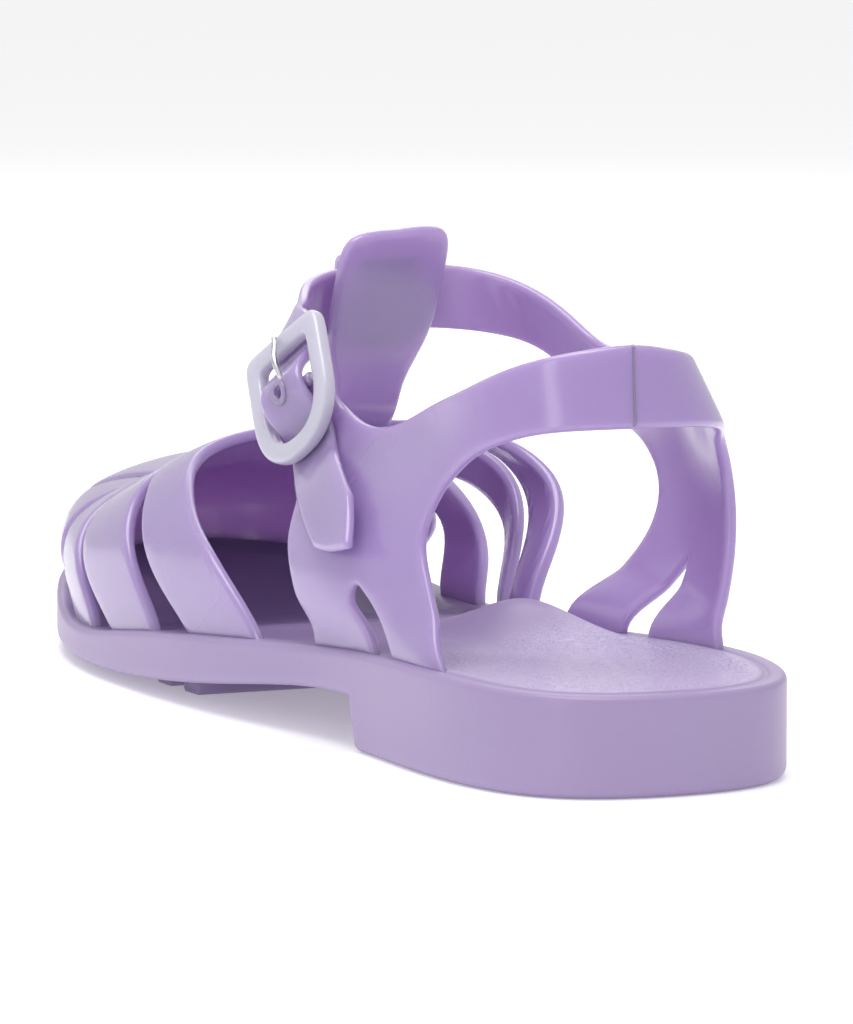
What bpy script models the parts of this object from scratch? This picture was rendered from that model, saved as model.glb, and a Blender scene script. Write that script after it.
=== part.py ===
"""Jelly sandal, left shoe: moulded PVC sole, fisherman toe cage with a tongue,
heel and ankle straps, and a plastic buckle with a wire prong.

Frame: +Y runs from the heel to the toe, +X to the inner (medial) side, +Z up.
The sandal stands on z = 0 and is centred on x = 0 and y = 0. Units are metres.
"""
import math

import bmesh
import bpy
import numpy as np
from mathutils import Matrix, Vector
from mathutils.geometry import delaunay_2d_cdt

# Driving sizes of the last and the sole
SOLE_LENGTH = 0.2458
HEEL_WIDTH = 0.0600
WAIST_INNER = 0.0230
WAIST_OUTER = 0.0333
BALL_INNER = 0.0425
BALL_OUTER = 0.04185
TOE_SHIFT = 0.0094
HEEL_HEIGHT = 0.0170
BREAST_Y = 0.0645
BREAST_SLOPE = 0.0025
TOP_EDGE = 0.0010
BOTTOM_EDGE = 0.0020
LEDGE_WIDTH = 0.0055
FOOTBED_DISH = 0.0012
ARCH_BUMP = 0.0064
WAIST_T = 0.38
LUG_COUNT = 5
LUG_WIDTH = 0.0070
LUG_PITCH = 0.0125
LUG_START_Y = 0.1400
LUG_INSET = 0.0060
LUG_SINK = 0.0015

# Driving sizes of the toe cage, the tongue and its keeper. THROAT and WAIST_T are shares of the length.
WALL = 0.0022
MEET_GAP = 0.0003
STRAP_INSET = 0.0032
CREST_HEIGHT = 0.0458
POLE_Y = 0.1980
SPINE_X = 0.0045
SECTION_POWER = 3.2
INNER_BULGE = 0.0070
OUTER_BULGE = 0.0020
TOE_ROUND = 0.25
COLLAR_END = 0.72
COLLAR_RUN = 0.14
THROAT = 0.6286
TONGUE_ROOT = 0.0054
TONGUE_LEAN = 0.0150
TONGUE_TOP = 0.0834
TONGUE_COLUMNS = 6
TAB_WIDTH = 0.0225
TAB_SHIFT = 0.0040
TAB_TURN = 0.12
TAB_RISE = 0.06
KEEPER_WIDTH = 0.0120
KEEPER_WALL = 0.0016
KEEPER_ROOM = 0.0006
KEEPER_FRONT = 0.6233 * SOLE_LENGTH

# Driving sizes of the heel strap and the ankle strap
HEEL_STRAP_TOP = 0.0720
SIDE_START = 0.2035
ROOT_COLUMNS = 5
ANKLE_STRAP_WIDTH = 0.0120
STRAP_FRONT_Z = 0.975 * HEEL_STRAP_TOP
STRAP_WALL = 0.0020
STRAP_NARROW = 0.08
STRAP_STEP = 0.0026
POINT_LENGTH = 0.0115

# Driving sizes of the buckle: its centre, the way it faces, the run of its bars and its parts
BUCKLE_X = -0.4333 * HEEL_WIDTH
BUCKLE_Y = 0.4304 * SOLE_LENGTH
BUCKLE_Z = 0.7972 * HEEL_STRAP_TOP
BUCKLE_FACE = Vector((-0.934, -0.192, 0.305)).normalized()
BUCKLE_BAR = Vector((0.341, -0.742, 0.576)).normalized()
BUCKLE_WIDTH = 0.0210
BUCKLE_HEIGHT = 0.0255
FRAME_BAR = 0.0036
FRAME_THICK = 0.0024
CENTRE_BAR = 0.0016
PRONG_WIRE = 0.0010
SLEEVE_RADIUS = 0.0017
SLEEVE_LENGTH = 0.0120
NOTCH_REACH = 0.0032
NOTCH_DEPTH = 0.0030
NOTCH_RISE = 0.0022
TAB_LEAN = 0.0043
TAB_LEAN_RUN = 0.0105

# Spacing of the points on the straps
MESH_STEP = 0.0046


def clear_scene():
    for old in list(bpy.data.objects):
        bpy.data.objects.remove(old, do_unlink=True)


def new_collection(name):
    group = bpy.data.collections.new(name)
    bpy.context.scene.collection.children.link(group)
    return group


def make_material(name, colour, roughness, metallic=0.0):
    material = bpy.data.materials.new(name)
    material.use_nodes = True
    shader = material.node_tree.nodes["Principled BSDF"]
    shader.inputs["Base Color"].default_value = (*colour, 1.0)
    shader.inputs["Roughness"].default_value = roughness
    shader.inputs["Metallic"].default_value = metallic
    return material


def spline(knots, values, closed=False):
    """Smooth cubic curve through the rows; the ends are free, or run into each other."""
    t = np.asarray(knots, float)
    v = np.asarray(values, float)
    count = len(t)
    step = np.diff(t)
    system = np.zeros((count, count))
    right = np.zeros(v.shape)
    slope = np.diff(v, axis=0) / step.reshape((-1,) + (1,) * (v.ndim - 1))
    for i in range(1, count - 1):
        system[i, i - 1:i + 2] = step[i - 1], 2 * (step[i - 1] + step[i]), step[i]
        right[i] = 6 * (slope[i] - slope[i - 1])
    system[0, 0] = 1
    system[-1, -1] = 1
    if closed:
        system[0, -1] = -1
        system[-1, :] = 0
        system[-1, 0:2] = 2 * step[0], step[0]
        system[-1, -2:] = step[-1], 2 * step[-1]
        right[-1] = 6 * (slope[0] - slope[-1])
    bend = np.linalg.solve(system, right.reshape(count, -1)).reshape(v.shape)

    def at(q):
        q = np.asarray(q, float)
        k = np.clip(np.searchsorted(t, q, side="right") - 1, 0, count - 2)
        width = step[k]
        a = (t[k + 1] - q) / width
        b = (q - t[k]) / width
        if v.ndim > 1:
            a, b, width = a[..., None], b[..., None], width[..., None]
        cubic = ((a**3 - a) * bend[k] + (b**3 - b) * bend[k + 1]) * width**2 / 6
        return a * v[k] + b * v[k + 1] + cubic

    return at


def chord(points):
    """Running length along a row of points."""
    steps = np.linalg.norm(np.diff(np.asarray(points, float), axis=0), axis=1)
    return np.concatenate([[0.0], np.cumsum(steps)])


# Sole outline, anticlockwise from the heel: share of the named width, share of the length
SOLE_OUTLINE = [
    (0.0, 0.0, 0.0), (HEEL_WIDTH / 2, 0.667, 0.024), (HEEL_WIDTH / 2, 1.0, 0.12),
    (WAIST_INNER, 1.15, 0.28), (WAIST_INNER, 1.0, 0.40), (BALL_INNER, 0.747, 0.552),
    (BALL_INNER, 1.0, 0.688), (BALL_INNER, 0.965, 0.812), (BALL_INNER, 0.711, 0.932),
    (TOE_SHIFT, 1.0, 1.0), (BALL_OUTER, -0.343, 0.972), (BALL_OUTER, -0.795, 0.856),
    (BALL_OUTER, -0.988, 0.72), (BALL_OUTER, -1.0, 0.592), (BALL_OUTER, -0.908, 0.44),
    (WAIST_OUTER, -0.95, 0.28), (HEEL_WIDTH / 2, -1.0, 0.12), (HEEL_WIDTH / 2, -0.667, 0.024),
]
OUTLINE_POINTS = np.array([(width * share, along * SOLE_LENGTH)
                           for width, share, along in SOLE_OUTLINE])
OUTLINE_RING = np.vstack([OUTLINE_POINTS, OUTLINE_POINTS[:1]])
OUTLINE_LENGTH = chord(OUTLINE_RING)[-1]
OUTLINE_CURVE = spline(chord(OUTLINE_RING), OUTLINE_RING, closed=True)


def outline(t, inset=0.0):
    """Points of the sole outline at running lengths t, moved inwards by the inset."""
    t = np.asarray(t, float) % OUTLINE_LENGTH
    small = SOLE_LENGTH * 0.002
    ahead = OUTLINE_CURVE((t + small) % OUTLINE_LENGTH)
    behind = OUTLINE_CURVE((t - small) % OUTLINE_LENGTH)
    run = ahead - behind
    run /= np.linalg.norm(run, axis=1)[:, None]
    return OUTLINE_CURVE(t) + np.stack([-run[:, 1], run[:, 0]], axis=1) * inset


# Heights along the length: share of the length, top edge and lower edge as shares of the heel height
TOP_ROWS = [(0.0, 1.0), (0.15, 1.041), (0.30, 0.979), (0.45, 0.838), (0.60, 0.645), (0.75, 0.478),
            (0.90, 0.763), (1.0, 0.891)]
UNDER_ROWS = [(0.272, 0.53), (0.30, 0.535), (0.45, 0.346), (0.60, 0.148), (0.75, 0.095), (0.90, 0.16),
              (1.0, 0.34)]
TOP_CURVE = spline([row[0] for row in TOP_ROWS], [row[1] for row in TOP_ROWS])
UNDER_CURVE = spline([row[0] for row in UNDER_ROWS], [row[1] for row in UNDER_ROWS])


def rim_height(y):
    return TOP_CURVE(np.asarray(y) / SOLE_LENGTH) * HEEL_HEIGHT


def under_height(y):
    """Underside of the sole: the flat heel block, its breast, and the thin forefoot."""
    y = np.asarray(y, float)
    fore = UNDER_CURVE(np.maximum(y, BREAST_Y + BREAST_SLOPE) / SOLE_LENGTH) * HEEL_HEIGHT
    rise = np.clip((y - BREAST_Y) / BREAST_SLOPE, 0.0, 1.0)
    return fore * rise


def smooth(x):
    x = np.clip(x, 0.0, 1.0)
    return x * x * (3 - 2 * x)


def footbed_height(x, y, depth):
    """Top of the sole at a distance depth inside its edge, dished, with the arch raised inside."""
    dish = FOOTBED_DISH * smooth((depth - LEDGE_WIDTH) / LEDGE_WIDTH)
    along = np.exp(-((y - WAIST_T * SOLE_LENGTH) / (0.1 * SOLE_LENGTH)) ** 2)
    across = smooth((x / WAIST_INNER + 0.1) / 0.7) * smooth((depth / LEDGE_WIDTH - 0.9) / 0.8)
    return rim_height(y) - dish + ARCH_BUMP * along * across


# Foot line of the straps, inside the sole outline, as one curve for each side
FOOT_T = np.linspace(0.0, OUTLINE_LENGTH, 721)
FOOT_LINE = outline(FOOT_T, STRAP_INSET)
TOE_ROW = int(np.argmax(FOOT_LINE[:, 1]))


def foot_x(y, side):
    """X of the foot line at y; side is 1 on the inner side and -1 on the outer."""
    half = FOOT_LINE[: TOE_ROW + 1] if side > 0 else FOOT_LINE[TOE_ROW:]
    order = np.argsort(half[:, 1])
    return np.interp(y, half[order, 1], half[order, 0])


# Toe cage: spine height (share of the crest) and side bulge (share), by share of the length
SPINE_ROWS = [(0.38, 1.07), (0.50, 1.045), (0.61, 1.02), (0.66, 0.972), (0.71, 0.908), (0.806, 0.788),
              (0.90, 0.72)]
SPINE_CURVE = spline([row[0] for row in SPINE_ROWS], [row[1] for row in SPINE_ROWS])
INNER_ROWS = [(0.38, 1.45), (0.48, 1.45), (0.52, 1.25), (0.55, 1.02), (0.58, 0.82), (0.62, 0.62),
              (0.70, 0.47), (0.78, 0.42), (0.86, 0.30), (1.0, 0.20)]
OUTER_ROWS = [(0.38, 1.0), (0.60, 1.0), (0.80, 1.0), (1.0, 0.8)]
INNER_CURVE = spline(*zip(*INNER_ROWS))
OUTER_CURVE = spline(*zip(*OUTER_ROWS))
QUARTER_TURN = np.linspace(0.0, math.pi / 2, 241)
ARCH_OUT = np.cos(QUARTER_TURN) ** (2 / SECTION_POWER)
ARCH_UP = np.sin(QUARTER_TURN) ** (2 / SECTION_POWER)
ARCH_RUN = chord(np.stack([ARCH_OUT * BALL_INNER, ARCH_UP * (CREST_HEIGHT - HEEL_HEIGHT)], axis=1))
ARCH_SHARE = ARCH_RUN / ARCH_RUN[-1]
POLE = np.array([SPINE_X, POLE_Y])
TOE_ARC = FOOT_LINE[FOOT_LINE[:, 1] > POLE_Y - 0.02][::-1]
TOE_ANGLE = np.arctan2(TOE_ARC[:, 0] - SPINE_X, TOE_ARC[:, 1] - POLE_Y)
TOE_REACH = np.linalg.norm(TOE_ARC - POLE, axis=1)


def cage_flat(side, across, y):
    """Flat pattern point of the toe cage: across is 0 on the spine and 1 on the foot line at y."""
    foot = np.stack([foot_x(y, side), np.asarray(y, float)], axis=-1)
    spine = np.stack([np.full(np.shape(y), SPINE_X), np.minimum(y, POLE_Y)], axis=-1)
    return spine + (foot - spine) * np.asarray(across, float)[..., None]


def cage(flat):
    """Toe cage over the flat pattern: a squarish arch from the foot line up to the spine."""
    x, y = flat[..., 0], flat[..., 1]
    toe = y > POLE_Y
    foot_side = np.where(x > SPINE_X, foot_x(y, 1), foot_x(y, -1))
    angle = np.arctan2(x - SPINE_X, y - POLE_Y)
    reach = np.interp(angle, TOE_ANGLE, TOE_REACH)
    out_x = np.where(toe, reach * np.sin(angle), foot_side - SPINE_X)
    out_y = np.where(toe, reach * np.cos(angle), 0.0)
    span = np.hypot(out_x, out_y)
    across = np.clip(np.hypot(x - SPINE_X, np.where(toe, y - POLE_Y, 0.0)) / span, 0.0, 1.0)
    out = np.interp(1 - across, ARCH_SHARE, ARCH_OUT)
    up = np.interp(1 - across, ARCH_SHARE, ARCH_UP)
    foot_y = np.where(toe, POLE_Y + out_y, y)
    share = foot_y / SOLE_LENGTH
    inner = INNER_CURVE(share) * INNER_BULGE
    outer = OUTER_CURVE(share) * OUTER_BULGE
    blend = smooth((out_x / span + 0.25) / 0.5)
    low_bulge = np.sin(math.pi * up**0.85) ** 2
    high_bulge = smooth(up / 0.75) * np.sqrt(1 - np.minimum(up, 1.0) ** 10)
    collar = smooth((COLLAR_END - share) / COLLAR_RUN) * blend
    bulge = (outer + (inner - outer) * blend) * (low_bulge + (high_bulge - low_bulge) * collar)
    up = up - TOE_ROUND * smooth((share - 0.60) / 0.15) * out**2 * up**4
    out = out + bulge / span
    spine_y = np.minimum(y, POLE_Y)
    foot_z = rim_height(foot_y) + MEET_GAP
    crest = SPINE_CURVE(spine_y / SOLE_LENGTH) * CREST_HEIGHT
    return np.stack([SPINE_X + out_x * out, spine_y + out_y * out, foot_z + (crest - foot_z) * up], axis=-1)


def run_through(points, step=MESH_STEP):
    """Smooth open line through flat points, in even steps; its last point is left out."""
    points = np.asarray(points, float)
    if len(points) == 2:
        length = np.linalg.norm(points[1] - points[0])
        count = max(1, round(length / step))
        return points[0] + (points[1] - points[0]) * np.linspace(0, 1, count, endpoint=False)[:, None]
    curve = spline(chord(points), points)
    fine = curve(np.linspace(0.0, chord(points)[-1], 200))
    length = chord(fine)
    count = max(2, round(length[-1] / step))
    even = np.interp(np.linspace(0, length[-1], count, endpoint=False), length, np.arange(200))
    low = even.astype(int)
    return fine[low] + (fine[np.minimum(low + 1, 199)] - fine[low]) * (even - low)[:, None]


def inside(points, loop):
    """True for each point inside a closed flat loop."""
    a = loop
    b = np.roll(loop, -1, axis=0)
    px, py = points[:, 0:1], points[:, 1:2]
    crosses = (a[:, 1] > py) != (b[:, 1] > py)
    with np.errstate(divide="ignore", invalid="ignore"):
        cut = a[:, 0] + (py - a[:, 1]) * (b[:, 0] - a[:, 0]) / (b[:, 1] - a[:, 1])
    return (crosses & (px < cut)).sum(axis=1) % 2 == 1


def fill(loops, step=MESH_STEP):
    """Flat points and triangles that fill the first loop, less the others."""
    everything = np.vstack(loops)
    low, high = everything.min(axis=0), everything.max(axis=0)
    grid_x, grid_y = np.meshgrid(np.arange(low[0], high[0], step), np.arange(low[1], high[1], step * 0.87))
    grid_x[1::2] += step / 2
    grid = np.stack([grid_x.ravel(), grid_y.ravel()], axis=1)
    kept = inside(grid, loops[0])
    for hole in loops[1:]:
        kept &= ~inside(grid, hole)
    grid = grid[kept]
    near = np.full(len(grid), np.inf)
    for point in everything:
        near = np.minimum(near, np.hypot(*(grid - point).T))
    grid = grid[near > step * 0.62]
    edges = []
    start = 0
    for loop in loops:
        edges += [(start + i, start + (i + 1) % len(loop)) for i in range(len(loop))]
        start += len(loop)
    vectors = [Vector(p) for p in np.vstack([everything, grid])]
    flat, _, triangles, *_ = delaunay_2d_cdt(vectors, edges, [], 0, 1e-9)
    flat = np.array([tuple(p) for p in flat])
    middles = np.array([flat[list(t)].mean(axis=0) for t in triangles])
    kept = inside(middles, loops[0])
    for hole in loops[1:]:
        kept &= ~inside(middles, hole)
    return flat, [tuple(t) for t, keep in zip(triangles, kept) if keep]


def mesh_object(name, points, faces, group):
    mesh = bpy.data.meshes.new(name)
    mesh.from_pydata([tuple(p) for p in points], [], faces)
    mesh.update()
    item = bpy.data.objects.new(name, mesh)
    group.objects.link(item)
    return item


def outward(item):
    """Turns a closed mesh's faces outwards."""
    shape = bmesh.new()
    shape.from_mesh(item.data)
    bmesh.ops.recalc_face_normals(shape, faces=shape.faces)
    if shape.calc_volume(signed=True) < 0:
        bmesh.ops.reverse_faces(shape, faces=shape.faces)
    shape.to_mesh(item.data)
    shape.free()


def settle(item):
    """Replaces an object's mesh with its evaluated one, so that its points can be trimmed."""
    graph = bpy.context.evaluated_depsgraph_get()
    mesh = bpy.data.meshes.new_from_object(item.evaluated_get(graph))
    item.modifiers.clear()
    item.data = mesh


def join(item, other, operation="UNION"):
    """Joins or cuts one closed mesh with another, and removes the other."""
    step = item.modifiers.new(operation.title(), "BOOLEAN")
    step.operation = operation
    step.object = other
    step.solver = "EXACT"
    settle(item)
    bpy.data.objects.remove(other, do_unlink=True)


def trim_feet(item):
    """Cuts the strap feet level, MEET_GAP above the sole."""
    count = len(item.data.vertices)
    points = np.empty(count * 3)
    item.data.vertices.foreach_get("co", points)
    points = points.reshape(-1, 3)
    floor = rim_height(points[:, 1]) + MEET_GAP
    points[:, 2] = np.maximum(points[:, 2], floor)
    item.data.vertices.foreach_set("co", points.ravel())


def shell(item, wall=WALL):
    """Gives an open surface its wall, half to each side."""
    step = item.modifiers.new("Wall", "SOLIDIFY")
    step.thickness = wall
    step.offset = 0.0
    step.use_even_offset = True
    settle(item)
    outward(item)


def ring_rows(t, rows):
    """Stacked rings of the sole wall: rows of inset and height at each running length."""
    rings = []
    for inset, height in rows:
        flat = outline(t, inset)
        rings.append(np.column_stack([flat, height(flat[:, 1])]))
    return rings


def build_sole(group):
    t = np.linspace(0.0, OUTLINE_LENGTH, 92, endpoint=False)
    fine = np.linspace(0.0, OUTLINE_LENGTH, 4001)
    fine_y = outline(fine)[:, 1]
    marks = []
    for level in (BREAST_Y, BREAST_Y + BREAST_SLOPE):
        crossing = np.nonzero((fine_y[:-1] - level) * (fine_y[1:] - level) < 0)[0]
        marks += [fine[k] + (level - fine_y[k]) / (fine_y[k + 1] - fine_y[k]) * (fine[1] - fine[0])
                  for k in crossing]
    apart = np.min(np.abs(t[:, None] - np.array(marks)[None]), axis=1)
    t = np.sort(np.concatenate([t[apart > 0.0015], marks]))
    rings = ring_rows(t, [
        (BOTTOM_EDGE, under_height),
        (BOTTOM_EDGE * 0.3, lambda y: under_height(y) + BOTTOM_EDGE * 0.3),
        (0.0, lambda y: under_height(y) + BOTTOM_EDGE),
        (0.0, lambda y: rim_height(y) - TOP_EDGE),
        (TOP_EDGE * 0.3, lambda y: rim_height(y) - TOP_EDGE * 0.3),
        (TOP_EDGE, rim_height),
    ])
    count = len(t)
    points = np.vstack(rings)
    faces = []
    for k in range(len(rings) - 1):
        for i in range(count):
            j = (i + 1) % count
            faces.append((k * count + i, k * count + j, (k + 1) * count + j, (k + 1) * count + i))
    item = mesh_object("sole", points, faces, group)

    def cap(edge, rows, height, turn):
        flat, triangles = fill_rows(edge, rows)
        lifted = np.column_stack([flat, height(flat)])
        return mesh_object("cap", lifted, [f[::-1] if turn else f for f in triangles], group)

    def top_height(flat):
        return footbed_height(flat[:, 0], flat[:, 1], edge_depth(flat))

    ledge = [outline(t[::2], depth) for depth in (LEDGE_WIDTH, LEDGE_WIDTH * 1.9)]
    top = cap(outline(t, TOP_EDGE), ledge, top_height, False)
    breast = [line_across(level, BOTTOM_EDGE) for level in (BREAST_Y, BREAST_Y + BREAST_SLOPE)]
    base = cap(outline(t, BOTTOM_EDGE), breast, lambda flat: under_height(flat[:, 1]), True)
    merge(item, [top, base])
    for k in range(LUG_COUNT):
        join(item, lug(LUG_START_Y + k * LUG_PITCH, group))
    outward(item)
    return item


def edge_depth(flat):
    """Distance of flat points inside the sole outline."""
    edge = outline(np.linspace(0.0, OUTLINE_LENGTH, 720, endpoint=False))
    depth = np.full(len(flat), np.inf)
    for point in edge:
        depth = np.minimum(depth, np.hypot(*(flat - point).T))
    return depth


def line_across(level, inset):
    """Row of flat points across the sole at one y, between its insets."""
    t = np.linspace(0.0, OUTLINE_LENGTH, 4001)
    edge = outline(t, inset)
    crossing = np.nonzero((edge[:-1, 1] - level) * (edge[1:, 1] - level) < 0)[0]
    ends = np.sort(edge[crossing, 0])
    inner = np.linspace(ends[0], ends[-1], 8)[1:-1]
    return np.column_stack([inner, np.full(len(inner), level)])


def fill_rows(edge, rows):
    """Fills the edge loop with a coarse grid and the given rows of points."""
    step = MESH_STEP * 2.2
    low, high = edge.min(axis=0), edge.max(axis=0)
    grid_x, grid_y = np.meshgrid(np.arange(low[0], high[0], step), np.arange(low[1], high[1], step))
    grid = np.stack([grid_x.ravel(), grid_y.ravel()], axis=1)
    grid = grid[inside(grid, edge)]
    held = np.vstack([edge] + rows)
    near = np.full(len(grid), np.inf)
    for point in held:
        near = np.minimum(near, np.hypot(*(grid - point).T))
    grid = grid[near > step * 0.6]
    edges = [(i, (i + 1) % len(edge)) for i in range(len(edge))]
    start = len(edge)
    for row in rows:
        edges += [(start + i, start + i + 1) for i in range(len(row) - 1)]
        start += len(row)
    vectors = [Vector(p) for p in np.vstack([held, grid])]
    flat, _, triangles, *_ = delaunay_2d_cdt(vectors, edges, [], 0, 1e-9)
    flat = np.array([tuple(p) for p in flat])
    middles = np.array([flat[list(f)].mean(axis=0) for f in triangles])
    kept = inside(middles, edge)
    return flat, [tuple(f) for f, keep in zip(triangles, kept) if keep]


def merge(item, others):
    """Sews open meshes that share an edge line into one mesh."""
    shape = bmesh.new()
    for source in [item] + others:
        shape.from_mesh(source.data)
    bmesh.ops.remove_doubles(shape, verts=shape.verts, dist=1e-6)
    bmesh.ops.recalc_face_normals(shape, faces=shape.faces)
    shape.to_mesh(item.data)
    shape.free()
    for other in others:
        bpy.data.objects.remove(other, do_unlink=True)


def lug(y, group):
    """Cross bar of the tread, clipped to the forefoot."""
    rows = np.linspace(y - LUG_WIDTH / 2, y + LUG_WIDTH / 2, 3)
    left = [(foot_x(row, -1) + LUG_INSET, row) for row in rows]
    right = [(foot_x(row, 1) - LUG_INSET, row) for row in rows]
    flat = left + right[::-1]
    top = float(under_height(y)) + LUG_SINK
    points = [(px, py, 0.0) for px, py in flat] + [(px, py, top) for px, py in flat]
    count = len(flat)
    faces = [tuple(range(count)), tuple(range(2 * count - 1, count - 1, -1))]
    faces += [(i, i + count, (i + 1) % count + count, (i + 1) % count) for i in range(count)]
    item = mesh_object("lug", points, faces, group)
    outward(item)
    return item


# Gaps of the toe cage in its flat pattern. "foot" is where it opens on the foot line, behind and
# ahead, as shares of the length; the rows run up the edge behind, round the end and down the edge
# ahead, as shares of the outer ball width and of the length.
OUTER_GAPS = [
    {"foot": (0.508, 0.570), "edge": [(-0.812, 0.548), (-0.710, 0.583), (-0.590, 0.619), (-0.500, 0.649),
                                      (-0.423, 0.673), (-0.580, 0.643), (-0.680, 0.622), (-0.785, 0.600)]},
    {"foot": (0.652, 0.700), "edge": [(-0.800, 0.697), (-0.705, 0.717), (-0.610, 0.733), (-0.500, 0.746),
                                      (-0.400, 0.756), (-0.505, 0.757), (-0.616, 0.748), (-0.717, 0.733),
                                      (-0.824, 0.716)]},
    {"foot": (0.765, 0.862), "edge": [(-0.785, 0.784), (-0.690, 0.797), (-0.610, 0.804), (-0.500, 0.807),
                                      (-0.410, 0.802), (-0.500, 0.817), (-0.600, 0.822), (-0.655, 0.836)]},
    {"foot": (0.945, 0.962), "edge": [(-0.392, 0.905), (-0.350, 0.860), (-0.300, 0.815), (-0.240, 0.765),
                                      (-0.268, 0.815), (-0.316, 0.862), (-0.350, 0.909)]},
]
# The same for the inner side, as shares of the inner ball width
INNER_GAPS = [
    {"foot": (0.494, 0.552), "edge": [(0.549, 0.5045), (0.519, 0.524), (0.506, 0.549), (0.480, 0.590),
                                      (0.410, 0.655), (0.527, 0.6225), (0.597, 0.590), (0.638, 0.5655)]},
    {"foot": (0.624, 0.703), "edge": [(0.776, 0.632), (0.727, 0.655), (0.660, 0.681), (0.570, 0.712),
                                      (0.740, 0.735), (0.835, 0.722)]},
    {"foot": (0.774, 0.826), "edge": [(0.840, 0.784), (0.750, 0.788), (0.650, 0.790), (0.745, 0.806),
                                      (0.820, 0.822)]},
    {"foot": (0.911, 0.932), "edge": [(0.665, 0.872), (0.625, 0.830), (0.565, 0.765), (0.575, 0.835),
                                      (0.610, 0.885)]},
]
# Collar, from the foot line to the throat: share across (1 on the foot line), share of the length
OUTER_COLLAR = [(1.0, 0.409), (0.84, 0.456), (0.735, 0.504), (0.625, 0.559), (0.48, 0.606), (0.32, 0.623)]
INNER_COLLAR = [(1.0, 0.424), (0.86, 0.444), (0.76, 0.462), (0.67, 0.482), (0.57, 0.508), (0.46, 0.552),
                (0.34, 0.610)]


def foot_point(side, share):
    y = share * SOLE_LENGTH
    return np.array([float(foot_x(y, side)), y])


def foot_run(side, start, end):
    """Flat line along the foot line between two shares of the length, on one side."""
    count = max(2, round(abs(end - start) * SOLE_LENGTH / MESH_STEP))
    y = np.linspace(start, end, count, endpoint=False) * SOLE_LENGTH
    return np.column_stack([foot_x(y, side), y])


def toe_run(start, end):
    """Flat line along the foot line round the toe, from the outer side to the inner side."""
    start_y, end_y = start * SOLE_LENGTH, end * SOLE_LENGTH
    outer = FOOT_LINE[TOE_ROW:]
    inner = FOOT_LINE[: TOE_ROW + 1]
    line = np.vstack([outer[outer[:, 1] > start_y][::-1], inner[inner[:, 1] > end_y][::-1][1:]])
    line = np.vstack([foot_point(-1, start), line, foot_point(1, end)])
    length = chord(line)
    at = np.linspace(0, length[-1], round(length[-1] / MESH_STEP), endpoint=False)
    return np.column_stack([np.interp(at, length, line[:, k]) for k in (0, 1)])


def gap_run(gap, side, width):
    """Flat line up one side of a gap, round its end and down the other side."""
    edge = [(x * width, y * SOLE_LENGTH) for x, y in gap["edge"]]
    rows = np.vstack([foot_point(side, gap["foot"][0]), edge, foot_point(side, gap["foot"][1])])
    return run_through(rows, MESH_STEP * 0.75)


def cage_loop():
    """Whole edge of the toe cage in its flat pattern, and the row where the tongue grows from it."""
    pieces = []
    last = OUTER_COLLAR[0][1]
    for gap in OUTER_GAPS:
        pieces.append(foot_run(-1, last, gap["foot"][0]))
        pieces.append(gap_run(gap, -1, BALL_OUTER))
        last = gap["foot"][1]
    pieces.append(toe_run(last, INNER_GAPS[-1]["foot"][1]))
    for k in range(len(INNER_GAPS) - 1, -1, -1):
        gap = INNER_GAPS[k]
        turned = {"foot": gap["foot"][::-1], "edge": gap["edge"][::-1]}
        pieces.append(gap_run(turned, 1, BALL_INNER))
        after = INNER_GAPS[k - 1]["foot"][1] if k else INNER_COLLAR[0][1]
        pieces.append(foot_run(1, gap["foot"][0], after))
    right = np.array([SPINE_X + TONGUE_ROOT, THROAT * SOLE_LENGTH])
    left = np.array([SPINE_X - TONGUE_ROOT, THROAT * SOLE_LENGTH])
    sides = []
    for side, rows, end in ((1, INNER_COLLAR, right), (-1, OUTER_COLLAR, left)):
        across = np.array([row[0] for row in rows])
        along = np.array([row[1] for row in rows]) * SOLE_LENGTH
        sides.append(np.vstack([cage_flat(side, across, along), end]))
    pieces.append(run_through(sides[0]))
    share = np.linspace(0, 1, TONGUE_COLUMNS + 1)[:, None]
    root = right + (left - right) * share
    pieces.append(root[:-1])
    pieces.append(run_through(sides[1][::-1]))
    return np.vstack(pieces), root[::-1]


# Tongue centre line: share of the way from the throat towards the heel over TONGUE_LEAN, height share
TONGUE_LINE = [(0.0, 0.0), (0.24, 0.038), (0.40, 0.117), (0.47, 0.211), (0.57, 0.371), (0.70, 0.576),
               (0.835, 0.781), (0.96, 1.0)]
# Half width of the tongue: share of its own length, share of half the tab width
TONGUE_SIDE = [(0.0, 0.711), (0.07, 0.60), (0.17, 0.585), (0.30, 0.66), (0.43, 0.84), (0.56, 0.97),
               (0.70, 1.0), (0.86, 1.0)]
TONGUE_TIP = [(0.86, 1.0), (0.94, 0.95), (0.985, 0.80), (1.0, 0.55), (1.0, 0.0)]


def tongue_surface(flat, root):
    """Tongue over its flat pattern: across it, and up from its root on the cage."""
    low = root[:, 2].mean()
    centre = np.array([(THROAT * SOLE_LENGTH - back * TONGUE_LEAN, low + up * (TONGUE_TOP - low))
                       for back, up in TONGUE_LINE])
    length = chord(centre)
    line = spline(length, centre)
    w, v = flat[:, 0], flat[:, 1]
    up = v / length[-1]
    ease = smooth(up / 0.3)
    y, z = line(v).T
    y = y + TAB_TURN * w * ease
    z = z + TAB_RISE * w * ease
    points = np.column_stack([SPINE_X + TAB_SHIFT * up + w, y, z])
    order = np.argsort(root[:, 0])
    base = np.column_stack([np.interp(w, root[order, 0] - SPINE_X, root[order, k]) for k in (1, 2)])
    first = np.array([THROAT * SOLE_LENGTH, low])
    points[:, 1:] += (base - first) * (1 - ease)[:, None]
    return points


def tongue_length(root):
    low = root[:, 2].mean()
    centre = [(back * TONGUE_LEAN, up * (TONGUE_TOP - low)) for back, up in TONGUE_LINE]
    return chord(centre)[-1]


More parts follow.
